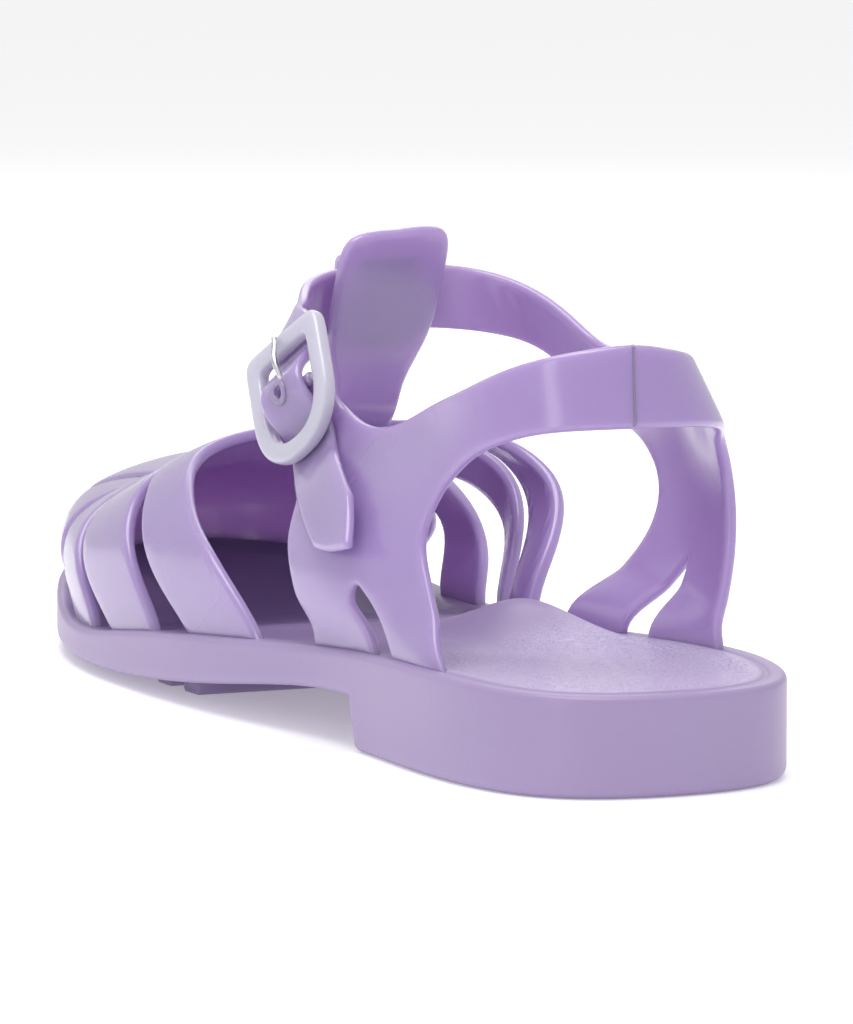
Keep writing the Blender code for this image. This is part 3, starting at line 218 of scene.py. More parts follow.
def nearest(points, line):
    """Distance from each point to the nearest one of a row, a block of points at a time."""
    block = 1000
    found = np.empty(len(points))
    for start in range(0, len(points), block):
        apart = points[start:start + block, None] - line
        found[start:start + block] = np.sqrt((apart ** 2).sum(axis=-1).min(axis=1))
    return found


class Wire:
    """One socket of a material; arithmetic on it adds the Math nodes, and node() any other node."""

    def __init__(self, tree, socket):
        self.tree = tree
        self.socket = socket

    def node(self, kind, settings=None, inputs=None, output=0):
        """New node with its settings, and values or links on its sockets."""
        made = self.tree.nodes.new(kind)
        for key, value in (settings or {}).items():
            if key == "stops":
                made.color_ramp.elements[0].position = value[0][0]
                made.color_ramp.elements[0].color = value[0][1]
                made.color_ramp.elements[1].position = value[-1][0]
                made.color_ramp.elements[1].color = value[-1][1]
                for place, colour in value[1:-1]:
                    made.color_ramp.elements.new(place).color = colour
            else:
                setattr(made, key, value)
        for key, value in (inputs or {}).items():
            if isinstance(value, Wire):
                self.tree.links.new(value.socket, made.inputs[key])
            else:
                made.inputs[key].default_value = value
        return Wire(self.tree, made.outputs[output])

    def maths(self, operation, first, second):
        """New Math node on two values."""
        return self.node("ShaderNodeMath", {"operation": operation}, {0: first, 1: second})

    def __add__(self, other):
        return self.maths("ADD", self, other)

    def __radd__(self, other):
        return self.maths("ADD", other, self)

    def __sub__(self, other):
        return self.maths("SUBTRACT", self, other)

    def __rsub__(self, other):
        return self.maths("SUBTRACT", other, self)

    def __mul__(self, other):
        return self.maths("MULTIPLY", self, other)

    def __rmul__(self, other):
        return self.maths("MULTIPLY", other, self)

    def step(self, low, high):
        """Eases from 0 at low to 1 at high."""
        return self.node("ShaderNodeMapRange", {"interpolation_type": "SMOOTHSTEP"},
                         {"Value": self, "From Min": low, "From Max": high, "To Min": 0.0, "To Max": 1.0})

    def noise(self, scale, detail):
        """Noise on these coordinates."""
        return self.node("ShaderNodeTexNoise", {}, {"Vector": self, "Scale": scale, "Detail": detail})

    def blend(self, first, second):
        """Colour that runs from the first to the second as this value runs from 0 to 1."""
        return self.node("ShaderNodeMix", {"data_type": "RGBA"}, {0: self, 6: first, 7: second}, 2)

    def bump(self, strength, distance):
        """Normal of this height."""
        return self.node("ShaderNodeBump", {}, {"Height": self, "Strength": strength, "Distance": distance})

    def apart(self, spot):
        """These coordinates less a spot."""
        return self.node("ShaderNodeVectorMath", {"operation": "SUBTRACT"}, {0: self, 1: tuple(spot)})


def start_material(name, roughness, coat=0.0, subsurface=0.0, ior=1.5):
    """New Principled material: returns it, its shader and a wire on its Object coordinates. Its
    subsurface scatters red and blue a little further than green."""
    material = bpy.data.materials.new(name)
    material.use_nodes = True
    tree = material.node_tree
    shader = tree.nodes["Principled BSDF"]
    shader.inputs["Roughness"].default_value = roughness
    shader.inputs["Coat Weight"].default_value = coat
    shader.inputs["Coat Roughness"].default_value = 0.16
    shader.inputs["IOR"].default_value = ior
    shader.inputs["Subsurface Weight"].default_value = subsurface
    shader.inputs["Subsurface Radius"].default_value = (1.0, 0.75, 1.0)
    shader.inputs["Subsurface Scale"].default_value = 0.010
    place = tree.nodes.new("ShaderNodeTexCoord")
    return material, shader, Wire(tree, place.outputs["Object"])


def feed(shader, name, wire):
    """Links a wire to one of a shader's sockets."""
    wire.tree.links.new(wire.socket, shader.inputs[name])


SOLE_COLOUR = (0.328, 0.249, 0.438, 1.0)
# Painted light: the heel's upward-facing footbed is painted lighter than the sole's sides, as if lit from
# above.
BED_TOP_LIGHT_COLOUR = (0.540, 0.450, 0.680, 1.0)
SOLE_PALE = (0.346, 0.266, 0.456, 1.0)
# Painted highlight: pale glints painted on the stipple's dots.
STIPPLE_GLINT_COLOUR = (0.640, 0.540, 0.780, 1.0)
RIPPLE_HEIGHT = 0.0007
RIPPLE_PITCH = 0.0095
RIPPLE_START = 0.560
RIPPLE_END = 0.760
RIM_GROOVE = 0.0005


def footbed(x, y, depth):
    """Top of the sole: the rim's height, less a dish inside the ledge and a groove beside it, plus
    the arch, a bell along the waist, and the ripples, a cosine across bowed lines."""
    dish = FOOTBED_DISH * smooth((depth - LEDGE_WIDTH * 0.8) / LEDGE_WIDTH)
    along = np.exp(-((y - WAIST_T * SOLE_LENGTH) / (0.1 * SOLE_LENGTH)) ** 2)
    arch = ARCH_BUMP * along * smooth((x / WAIST_INNER + 0.1) / 0.7)
    arch = arch * smooth((depth / LEDGE_WIDTH - 0.9) / 0.8)
    share = y / SOLE_LENGTH
    zone = smooth((share - RIPPLE_START) / 0.04) * smooth((RIPPLE_END - share) / 0.04)
    zone = zone * smooth((depth - LEDGE_WIDTH * 1.2) / LEDGE_WIDTH)
    bow = y + 0.006 * (x / BALL_INNER) ** 2
    ripple = RIPPLE_HEIGHT * np.cos(2 * math.pi * bow / RIPPLE_PITCH) * zone
    groove = RIM_GROOVE * np.exp(-((depth - LEDGE_WIDTH * 0.62) / 0.0005) ** 2)
    heel = smooth((0.30 - share) / 0.05)
    return rim_height(y) - dish + arch + ripple - groove * heel


def build_sole():
    """Side: a profile of insets and heights carried round the outline. Top: rings that shrink from
    the outline towards a middle line, lifted to the footbed's height. Underside: the same below."""
    count = 480
    t = np.linspace(0.0, OUTLINE_LENGTH, count, endpoint=False)
    turn = np.linspace(0.0, math.pi / 2, 6)
    profile = [(BOTTOM_EDGE * (1 - math.sin(a)), 0, BOTTOM_EDGE * (1 - math.cos(a))) for a in turn]
    profile += [(0.0, share, 0.0) for share in np.linspace(0.12, 0.88, 9)]
    profile += [(TOP_EDGE * (1 - math.cos(a)), 1, -TOP_EDGE * (1 - math.sin(a))) for a in turn]
    rings = []
    for inset, share, lift in profile:
        flat = outline(t, np.full(count, inset))
        low, high = under_height(flat[:, 1]), rim_height(flat[:, 1])
        if share == 0:
            z = low + lift
        elif share == 1:
            z = high + lift
        else:
            z = (low + BOTTOM_EDGE) * (1 - share) + (high - TOP_EDGE) * share
        rings.append(np.column_stack([flat, z]))
    edge = outline(t, np.full(count, TOP_EDGE))
    middle_y = np.clip(edge[:, 1], 0.11 * SOLE_LENGTH, 0.86 * SOLE_LENGTH)
    middle_x = (side_x(middle_y, 1, edge_line) + side_x(middle_y, -1, edge_line)) / 2
    middle = np.column_stack([middle_x, middle_y])
    reach = np.linalg.norm(middle - edge, axis=1)
    centre = footbed(middle_x, middle_y, TOP_EDGE + reach)
    for share in np.concatenate([np.linspace(0.012, 0.40, 30), np.linspace(0.42, 1.0, 34)]):
        flat = edge + (middle - edge) * share
        z = footbed(flat[:, 0], flat[:, 1], TOP_EDGE + reach * share)
        rings.append(np.column_stack([flat, z + (centre - z) * share**16]))
    upper = np.vstack(rings)
    under = rings[0]
    rows = [under]
    for share in np.linspace(0.04, 1.0, 26):
        flat = under[:, :2] + (middle - under[:, :2]) * share
        rows.append(np.column_stack([flat, under_height(flat[:, 1])]))
    faces = grid_faces(len(rings), count, closed=True)
    below = np.array(grid_faces(len(rows), count, closed=True))[:, ::-1] + len(upper)
    return np.vstack([upper] + rows), faces + below.tolist()


LUG_COUNT = 5
LUG_WIDTH = 0.0070
LUG_PITCH = 0.0125
LUG_START_Y = 0.1400
LUG_INSET = 0.0060
LUG_EDGE = 0.0006
LUG_SINK = 0.001


def build_lugs():
    """Cross bars under the forefoot: each a box with its ends on the sole's outline, less an inset."""
    across = np.linspace(0.0, 1.0, 13)
    points, faces = [], []
    for k in range(LUG_COUNT):
        y = LUG_START_Y + k * LUG_PITCH
        root = float(under_height(y)) + LUG_SINK
        section = [(-0.5, LUG_EDGE), (-0.42, 0.0), (0.42, 0.0), (0.5, LUG_EDGE), (0.5, root), (-0.5, root)]
        lines = []
        for share, z in section:
            row = y + share * LUG_WIDTH
            left = side_x(row, -1, foot_line) + LUG_INSET
            right = side_x(row, 1, foot_line) - LUG_INSET
            lines.append(np.stack(np.broadcast_arrays(left + (right - left) * across, row, z), axis=-1))
        bar = np.stack(lines, axis=1).reshape(-1, 3)
        box = grid_faces(len(across), len(section), closed=True) + end_caps(len(section), len(bar))
        faces += [[k * len(bar) + corner for corner in face] for face in box]
        points.append(bar)
    return np.vstack(points), faces


def paint_stipple_and_bed_light(item):
    """Mask on the sole's points for the stipple and for the painted light that makes the heel's footbed
    lighter: 1 on the heel's upward-facing footbed inside the rim, eased to 0 at the waist and beside the
    inner straps' feet."""
    spots = np.empty(len(item.data.vertices) * 3)
    item.data.vertices.foreach_get("co", spots)
    spots = spots.reshape(-1, 3) - SHIFT
    normals = np.empty(len(item.data.vertices) * 3)
    item.data.vertices.foreach_get("normal", normals)
    depth = nearest(spots[:, :2], edge_line)
    mask = smooth((depth - LEDGE_WIDTH * 0.75) / 0.0012) * (normals[2::3] > 0.3)
    mask = mask * smooth((0.335 - spots[:, 1] / SOLE_LENGTH) / 0.09)
    mask = mask * (1 - smooth((spots[:, 0] - 0.018) / 0.008) * smooth((spots[:, 1] - 0.05) / 0.02))
    item.data.attributes.new("stipple_and_bed_light", "FLOAT", "POINT").data.foreach_set("value", mask)


sole = finish_mesh("sole_body", *build_sole(), "sole", "sole")
lugs = finish_mesh("sole_bars", *build_lugs(), None, "sole")
material, shader, place = start_material("sole_pvc", 0.42, coat=0.08, subsurface=0.10)
local = place.apart(SHIFT)
mask = material.node_tree.nodes.new("ShaderNodeAttribute")
mask.attribute_name = "stipple_and_bed_light"
heel_mask = Wire(material.node_tree, mask.outputs["Fac"])
cells = local.node("ShaderNodeTexVoronoi", {"feature": "F1"},
                   {"Vector": local, "Scale": 1100.0, "Randomness": 1.0})
stipple_and_glints = (1.0 - cells.step(0.12, 0.62)) * heel_mask
tint = local.noise(18.0, 2.0).step(0.35, 0.7).blend(SOLE_COLOUR, SOLE_PALE)
# Painted light: the heel's footbed is blended towards a lighter colour, as if lit from above.
tint = (heel_mask * 0.80).blend(tint, BED_TOP_LIGHT_COLOUR)
# Painted highlight: the stipple's dots are blended towards a pale colour as glints; the same dots also make
# the stipple's bump.
tint = (stipple_and_glints * 0.75).blend(tint, STIPPLE_GLINT_COLOUR)
feed(shader, "Base Color", tint)
feed(shader, "Normal", (stipple_and_glints + local.noise(1500.0, 1.0) * 0.10).bump(0.7, 0.0005))
feed(shader, "Roughness", heel_mask * -0.08 + 0.40)
for item in (sole, lugs):
    item.data.materials.append(material)
paint_stipple_and_bed_light(sole)


# Toe cage and tongue. One moulded sheet of PVC about 2 mm thick over the toes: four straps a side
# and a toe panel, with the tongue growing from its throat. Its edges are rounded in the mould.
WALL = 0.0022
EDGE_ROUND = 0.0010
CREST_HEIGHT = 0.0458
POLE_Y = 0.1980
SPINE_X = 0.0045
SECTION_POWER = 3.2
INNER_BULGE = 0.0070
OUTER_BULGE = 0.0020
TOE_ROUND = 0.25
COLLAR_END = 0.72
COLLAR_RUN = 0.14
TONGUE_TOP = 0.0834
TAB_WIDTH = 0.0225
STRAP_COLOUR = (0.300, 0.226, 0.442, 1.0)
STRAP_PALE = (0.316, 0.240, 0.458, 1.0)

# Rows: share of the sole's length, and the crest's height or the bulge as a share of its size.
SPINE_ROWS = [(0.38, 1.07), (0.50, 1.045), (0.61, 1.02), (0.66, 0.972), (0.71, 0.908), (0.806, 0.788),
              (0.90, 0.72)]
INNER_ROWS = [(0.38, 1.45), (0.48, 1.45), (0.52, 1.25), (0.55, 1.02), (0.58, 0.82), (0.62, 0.62),
              (0.70, 0.47), (0.78, 0.42), (0.86, 0.30), (1.0, 0.20)]
OUTER_ROWS = [(0.38, 1.0), (0.60, 1.0), (0.80, 1.0), (1.0, 0.8)]
spine_curve = spline(*zip(*SPINE_ROWS))
inner_bulge = spline(*zip(*INNER_ROWS))
outer_bulge = spline(*zip(*OUTER_ROWS))
quarter_turn = np.linspace(0.0, math.pi / 2, 961)
arch_out = np.cos(quarter_turn) ** (2 / SECTION_POWER)
arch_up = np.sin(quarter_turn) ** (2 / SECTION_POWER)
arch_run = chord(np.stack([arch_out * BALL_INNER, arch_up * (CREST_HEIGHT - HEEL_HEIGHT)], axis=1))
arch_share = arch_run / arch_run[-1]
toe_arc = foot_line[foot_line[:, 1] > POLE_Y - 0.02][::-1]
toe_angle = np.arctan2(toe_arc[:, 0] - SPINE_X, toe_arc[:, 1] - POLE_Y)
toe_reach = np.linalg.norm(toe_arc - np.array([SPINE_X, POLE_Y]), axis=1)


def cage(flat):
    """Toe cage over its flat pattern: out and up follow a superellipse from the foot line to the
    spine, with a bulge outwards, a sine squared up the wall or, by the inner collar, fullest at its
    top. Ahead of the pole the arch turns round the toe."""
    x, y = flat[..., 0], flat[..., 1]
    toe = y > POLE_Y
    foot_side = np.where(x > SPINE_X, side_x(y, 1, foot_line), side_x(y, -1, foot_line))
    angle = np.arctan2(x - SPINE_X, y - POLE_Y)
    reach = np.interp(angle, toe_angle, toe_reach)
    out_x = np.where(toe, reach * np.sin(angle), foot_side - SPINE_X)
    out_y = np.where(toe, reach * np.cos(angle), 0.0)
    span = np.hypot(out_x, out_y)
    across = np.hypot(x - SPINE_X, np.where(toe, y - POLE_Y, 0.0)) / span
    below = np.maximum(across - 1, 0.0) * span
    across = np.minimum(across, 1.0)
    out = np.interp(1 - across, arch_share, arch_out)
    up = np.interp(1 - across, arch_share, arch_up)
    foot_y = np.where(toe, POLE_Y + out_y, y)
    share = foot_y / SOLE_LENGTH
    inner = inner_bulge(share) * INNER_BULGE
    outer = outer_bulge(share) * OUTER_BULGE
    blend = smooth((out_x / span + 0.25) / 0.5)
    low_bulge = np.sin(math.pi * up**0.85) ** 2
    high_bulge = smooth(up / 0.75) * np.sqrt(1 - np.minimum(up, 1.0) ** 10)
    collar = smooth((COLLAR_END - share) / COLLAR_RUN) * blend
    bulge = (outer + (inner - outer) * blend) * (low_bulge + (high_bulge - low_bulge) * collar)
    up = up - TOE_ROUND * smooth((share - 0.60) / 0.15) * out**2 * up**4
    out = out + bulge / span
    spine_y = np.minimum(y, POLE_Y)
    foot_z = rim_height(foot_y)
    crest = spine_curve(spine_y / SOLE_LENGTH) * CREST_HEIGHT
    z = foot_z + (crest - foot_z) * up - below
    return np.stack([SPINE_X + out_x * out, spine_y + out_y * out, z], axis=-1)


def cage_flat(side, across, y):
    """Point of the flat pattern: across is 0 on the spine and 1 on the foot line at y."""
    foot = np.stack([side_x(y, side, foot_line), np.asarray(y, float)], axis=-1)
    spine = np.stack([np.full(np.shape(y), SPINE_X), np.minimum(y, POLE_Y)], axis=-1)
    return spine + (foot - spine) * np.asarray(across, float)[..., None]


def run_through(points, step):
    """Smooth open line through flat points, in even steps; its last point is left out."""
    points = np.asarray(points, float)
    if len(points) == 2:
        length = np.linalg.norm(points[1] - points[0])
        count = max(1, round(length / step))
        return points[0] + (points[1] - points[0]) * np.linspace(0, 1, count, endpoint=False)[:, None]
    curve = spline(chord(points), points)
    fine = curve(np.linspace(0.0, chord(points)[-1], 900))
    length = chord(fine)
    count = max(2, round(length[-1] / step))
    at = np.linspace(0, length[-1], count, endpoint=False)
    return np.column_stack([np.interp(at, length, fine[:, k]) for k in (0, 1)])


# Gaps: where their two edges meet the foot line, as shares of the sole's length, and the edge
# between, as shares of the half width from the pattern's x = 0 and of the sole's length.
OUTER_GAPS = [
    {"foot": (0.508, 0.570), "edge": [(-0.812, 0.548), (-0.710, 0.583), (-0.590, 0.619), (-0.500, 0.649),
                                      (-0.423, 0.673), (-0.580, 0.643), (-0.680, 0.622), (-0.785, 0.600)]},
    {"foot": (0.652, 0.700), "edge": [(-0.800, 0.697), (-0.705, 0.717), (-0.610, 0.733), (-0.500, 0.746),
                                      (-0.400, 0.756), (-0.505, 0.757), (-0.616, 0.748), (-0.717, 0.733),
                                      (-0.824, 0.716)]},
    {"foot": (0.765, 0.862), "edge": [(-0.785, 0.784), (-0.690, 0.797), (-0.610, 0.804), (-0.500, 0.807),
                                      (-0.410, 0.802), (-0.500, 0.817), (-0.600, 0.822), (-0.655, 0.836)]},
    {"foot": (0.945, 0.962), "edge": [(-0.392, 0.905), (-0.350, 0.860), (-0.300, 0.815), (-0.240, 0.765),
                                      (-0.268, 0.815), (-0.316, 0.862), (-0.350, 0.909)]},
]
INNER_GAPS = [
    {"foot": (0.494, 0.552), "edge": [(0.549, 0.5045), (0.519, 0.524), (0.506, 0.549), (0.480, 0.590),
                                      (0.410, 0.655), (0.527, 0.6225), (0.597, 0.590), (0.638, 0.5655)]},
    {"foot": (0.624, 0.703), "edge": [(0.776, 0.632), (0.727, 0.655), (0.660, 0.681), (0.570, 0.712),
                                      (0.740, 0.735), (0.835, 0.722)]},
    {"foot": (0.774, 0.826), "edge": [(0.840, 0.784), (0.750, 0.788), (0.650, 0.790), (0.745, 0.806),
                                      (0.820, 0.822)]},
    {"foot": (0.911, 0.932), "edge": [(0.665, 0.872), (0.625, 0.830), (0.565, 0.765), (0.575, 0.835),
                                      (0.610, 0.885)]},
]
# Rows: share of the way from the spine to the foot line, and share of the sole's length.
OUTER_COLLAR = [(1.0, 0.409), (0.84, 0.456), (0.735, 0.504), (0.625, 0.559), (0.48, 0.606), (0.32, 0.623)]
INNER_COLLAR = [(1.0, 0.424), (0.86, 0.444), (0.76, 0.462), (0.67, 0.482), (0.57, 0.508), (0.46, 0.552),
                (0.34, 0.610)]
THROAT = 0.6286
TONGUE_LEAN = 0.0150
# Rows: share of the lean and of the rise, and below, share of the run and of the half width.
TONGUE_LINE = [(0.0, 0.0), (0.24, 0.038), (0.40, 0.117), (0.47, 0.211), (0.57, 0.371), (0.70, 0.576),
               (0.835, 0.781), (0.96, 1.0)]
TONGUE_SIDE = [(0.0, 0.74), (0.07, 0.60), (0.17, 0.585), (0.30, 0.66), (0.43, 0.84), (0.56, 0.97),
               (0.70, 1.0), (0.86, 1.0), (0.94, 0.95), (0.985, 0.80), (1.0, 0.55), (1.0, 0.0)]
TAB_SHIFT = 0.0040
TAB_TURN = 0.12
TAB_RISE = 0.06
FLAT_SHARE = 0.675
throat_y = THROAT * SOLE_LENGTH
throat_z = float(cage(np.array([[SPINE_X, throat_y]]))[0, 2])
tongue_points = np.array([(throat_y - back * TONGUE_LEAN, throat_z + up * (TONGUE_TOP - throat_z))
                          for back, up in TONGUE_LINE])
tongue_length = chord(tongue_points)[-1]
tongue_line = spline(chord(tongue_points), tongue_points)


def front(flat):
    """Cage and tongue over one flat pattern: behind the throat, the strip at the middle is the
    tongue, whose run up is the distance from the throat."""
    points = cage(flat)
    w = (flat[..., 0] - SPINE_X) / FLAT_SHARE
    v = throat_y - flat[..., 1]
    tongue = (v > 0) & (np.abs(w) < TAB_WIDTH * 0.56)
    v = np.clip(v, 0.0, tongue_length * 1.1)
    up = v / tongue_length
    ease = smooth(up / 0.3)
    line = tongue_line(v)
    root = cage(np.stack([flat[..., 0], np.full(flat.shape[:-1], throat_y)], axis=-1))
    turned = np.stack([SPINE_X + TAB_SHIFT * up + w, line[..., 0] + TAB_TURN * w * ease,
                       line[..., 1] + TAB_RISE * w * ease], axis=-1)
    spine = np.array([SPINE_X, throat_y, throat_z])
    turned = turned + (root - spine - np.stack([w, 0 * w, 0 * w], axis=-1)) * (1 - ease)[..., None]
    return np.where(tongue[..., None], turned, points)


FOOT_SINK = 0.0012


def foot_run(side, start, end, step):
    """Line along the straps' feet, a little below the sole's top, from one share to another."""
    y = run_through([(0.0, start * SOLE_LENGTH), (0.0, end * SOLE_LENGTH)], step)[:, 1]
    return cage_flat(side, np.full(len(y), 1.0), y) + feet_out(side, y)


def feet_out(side, y):
    """Small step outwards in the flat pattern, which puts the feet under the sole's top."""
    foot = np.column_stack([side_x(y, side, foot_line), y])
    spine = np.column_stack([np.full(len(y), SPINE_X), np.minimum(y, POLE_Y)])
    run = foot - spine
    return run / np.linalg.norm(run, axis=1)[:, None] * FOOT_SINK


def front_loop(step):
    """Whole edge of the flat pattern: feet, gaps, toe, collar and tongue."""
    pieces = []
    last = OUTER_COLLAR[0][1]

    def gap_line(gap, side, width, turned):
        """Edge of one gap, from foot to foot."""
        edge = np.array([(x * width, y * SOLE_LENGTH) for x, y in gap["edge"]])
        ends = np.array(gap["foot"]) * SOLE_LENGTH
        feet = cage_flat(side, np.ones(2), ends) + feet_out(side, ends)
        rows = np.vstack([feet[:1], edge, feet[1:]])
        return run_through(rows[::-1] if turned else rows, step)

    for gap in OUTER_GAPS:
        pieces.append(foot_run(-1, last, gap["foot"][0], step))
        pieces.append(gap_line(gap, -1, BALL_OUTER, False))
        last = gap["foot"][1]
    line = foot_line[::-1]
    start, end = last * SOLE_LENGTH, INNER_GAPS[-1]["foot"][1] * SOLE_LENGTH
    before_toe = np.arange(len(line)) <= len(line) - 1 - toe_row
    keep = line[:, 1] > np.where(before_toe, start, end)
    toe = np.vstack([cage_flat(-1, np.ones(1), np.array([start])), line[keep],
                     cage_flat(1, np.ones(1), np.array([end]))])
    out = toe - np.array([SPINE_X, POLE_Y])
    toe = toe + out / np.linalg.norm(out, axis=1)[:, None] * FOOT_SINK
    length = chord(toe)
    at = np.linspace(0, length[-1], round(length[-1] / step), endpoint=False)
    pieces.append(np.column_stack([np.interp(at, length, toe[:, k]) for k in (0, 1)]))
    for k in range(len(INNER_GAPS) - 1, -1, -1):
        gap = INNER_GAPS[k]
        pieces.append(gap_line(gap, 1, BALL_INNER, True))
        after = INNER_GAPS[k - 1]["foot"][1] if k else INNER_COLLAR[0][1]
        pieces.append(foot_run(1, gap["foot"][0], after, step))
    sides = []
    for side, rows in ((1, INNER_COLLAR), (-1, OUTER_COLLAR)):
        across = np.array([row[0] for row in rows])
        along = np.array([row[1] for row in rows]) * SOLE_LENGTH
        line = cage_flat(side, across, along)
        line[0] = line[0] + feet_out(side, along[:1])[0]
        tab = np.array([(SPINE_X + side * half * TAB_WIDTH / 2 * FLAT_SHARE, throat_y - up * tongue_length)
                        for up, half in TONGUE_SIDE])
        sides.append(np.vstack([line, tab]))
    pieces.append(run_through(sides[0], step))
    pieces.append(run_through(sides[1][::-1], step))
    return np.vstack(pieces)


def inside(points, loop):
    """True for each point inside a closed flat loop, by counting crossings, a block at a time."""
    block = 4000
    result = np.zeros(len(points), bool)
    b = np.roll(loop, -1, axis=0)
    for start in range(0, len(points), block):
        px, py = points[start:start + block, 0:1], points[start:start + block, 1:2]
        crosses = (loop[:, 1] > py) != (b[:, 1] > py)
        with np.errstate(divide="ignore", invalid="ignore"):
            cut = loop[:, 0] + (py - loop[:, 1]) * (b[:, 0] - loop[:, 0]) / (b[:, 1] - loop[:, 1])
        result[start:start + block] = (crosses & (px < cut)).sum(axis=1) % 2 == 1
    return result


def in_sheet(points, loops):
    """True for points inside the first loop and outside all the others."""
    found = inside(points, loops[0])
    for hole in loops[1:]:
        found &= ~inside(points, hole)
    return found


SMALL = 2e-4
EDGE_STEP = 0.0011
GRID_STEP = 0.0016
EDGE_TURNS = (22.5, 45.0, 67.5, 90.0)


def edge_normal(loop, loops, surface):
    """Way into the sheet at each point of a loop, as long in the pattern as makes it one long on
    the surface."""
    ahead = np.roll(loop, -1, axis=0) - np.roll(loop, 1, axis=0)
    normal = np.stack([-ahead[:, 1], ahead[:, 0]], axis=1)
    normal /= np.linalg.norm(normal, axis=1)[:, None]
    if in_sheet(loop + normal * SMALL / 2, loops).mean() <= 0.5:
        normal = -normal
    stretch = np.linalg.norm(surface(loop + normal * SMALL) - surface(loop), axis=1) / SMALL
    return normal / np.clip(stretch, 0.6, 4.0)[:, None]


def sheet_normal(surface, flat):
    """Normal of a surface over its pattern: the cross product of a small step along and one up."""
    along = surface(flat + (SMALL, 0.0)) - surface(flat - (SMALL, 0.0))
    rise = surface(flat + (0.0, SMALL)) - surface(flat - (0.0, SMALL))
    normal = np.cross(along, rise)
    return normal / np.linalg.norm(normal, axis=-1)[..., None]


def rounded_sheet(loops, surface, wall):
    """Sheet of even wall over a flat pattern: the surface plus and minus its normal times half the
    wall, which shrinks to nothing at the edge along a quarter round, the root of 1 less the square
    of 1 - depth / round. Rows of points follow the edge, and a staggered grid fills the rest."""
    flats = list(loops)
    depths = [np.zeros(len(loop)) for loop in loops]
    edges = []
    for loop in loops:
        at = np.arange(len(loop))
        edges += (np.stack([at, np.roll(at, -1)], axis=1) + len(edges)).tolist()
    border = surface(np.vstack(loops))
    ahead = np.roll(border, -1, axis=0) - border
    close = np.linalg.norm(ahead, axis=1) < GRID_STEP * 4
    border = np.vstack([border[close], (border + ahead * 0.5)[close]])
    normals = [edge_normal(loop, loops, surface) for loop in loops]
    for turn in EDGE_TURNS:
        depth = EDGE_ROUND * (1 - math.cos(math.radians(turn)))
        for loop, normal in zip(loops, normals):
            row = loop + normal * depth
            keep = (nearest(surface(row), border) > depth * 0.8) & in_sheet(row, loops)
            flats.append(row[keep])
            depths.append(np.full(int(keep.sum()), depth))
    low, high = loops[0].min(axis=0), loops[0].max(axis=0)
    grid_x, grid_y = np.meshgrid(np.arange(low[0], high[0], GRID_STEP),
                                 np.arange(low[1], high[1], GRID_STEP * 0.87))
    grid_x[1::2] += GRID_STEP / 2
    grid = np.stack([grid_x.ravel(), grid_y.ravel()], axis=1)
    grid = grid[in_sheet(grid, loops)]
    grid = grid[nearest(surface(grid), border) > EDGE_ROUND + GRID_STEP * 0.35]
    flats.append(grid)
    depths.append(np.full(len(grid), EDGE_ROUND))
    spots = [Vector(spot) for spot in np.vstack(flats)]
    found, _, triangles, origins, *_ = delaunay_2d_cdt(spots, edges, [], 0, 1e-9)
    pattern = np.array([tuple(spot) for spot in found])
    given = np.concatenate(depths)
    depth = np.array([given[list(origin)].min() if len(origin) else 0.0 for origin in origins])
    corners = np.array([tuple(corner) for corner in triangles])
    corners = corners[in_sheet(pattern[corners].mean(axis=1), loops)]
    lift = wall / 2 * np.sqrt(np.clip(1 - (1 - depth / EDGE_ROUND) ** 2, 0.0, 1.0))
    away = sheet_normal(surface, pattern) * lift[:, None]
    points = np.vstack([surface(pattern) + away, surface(pattern) - away])
    count = len(pattern)
    lower = np.where(depth < 1e-9, np.arange(count), np.arange(count) + count)
    faces = np.vstack([corners, lower[corners[:, ::-1]]])
    used = np.unique(faces)
    return points[used], np.searchsorted(used, faces).tolist()


cage_piece = finish_mesh("toe_cage", *rounded_sheet([front_loop(EDGE_STEP)], front, WALL),
                         "upper_front", "straps")
material, shader, place = start_material("strap_pvc", 0.20, coat=0.55, subsurface=0.60)
local = place.apart(SHIFT)
cloud = local.noise(22.0, 2.0)
feed(shader, "Base Color", cloud.step(0.3, 0.7).blend(STRAP_COLOUR, STRAP_PALE))
feed(shader, "Normal", local.noise(90.0, 1.0).bump(0.15, 0.0003))
feed(shader, "Roughness", cloud * 0.10 + 0.20)
strap_pvc = material
cage_piece.data.materials.append(strap_pvc)

# Keeper. A short loop of the same PVC, moulded on the front of the tongue: the ankle strap runs
# through it. Its section is a rounded bar carried round the strap.
ANKLE_STRAP_WIDTH = 0.0120
KEEPER_WIDTH = 0.0120
KEEPER_WALL = 0.0016
KEEPER_ROOM = 0.0006
KEEPER_SIDES = 24
STRAP_FRONT_Z = 0.0702
KEEPER_FRONT = 0.1532


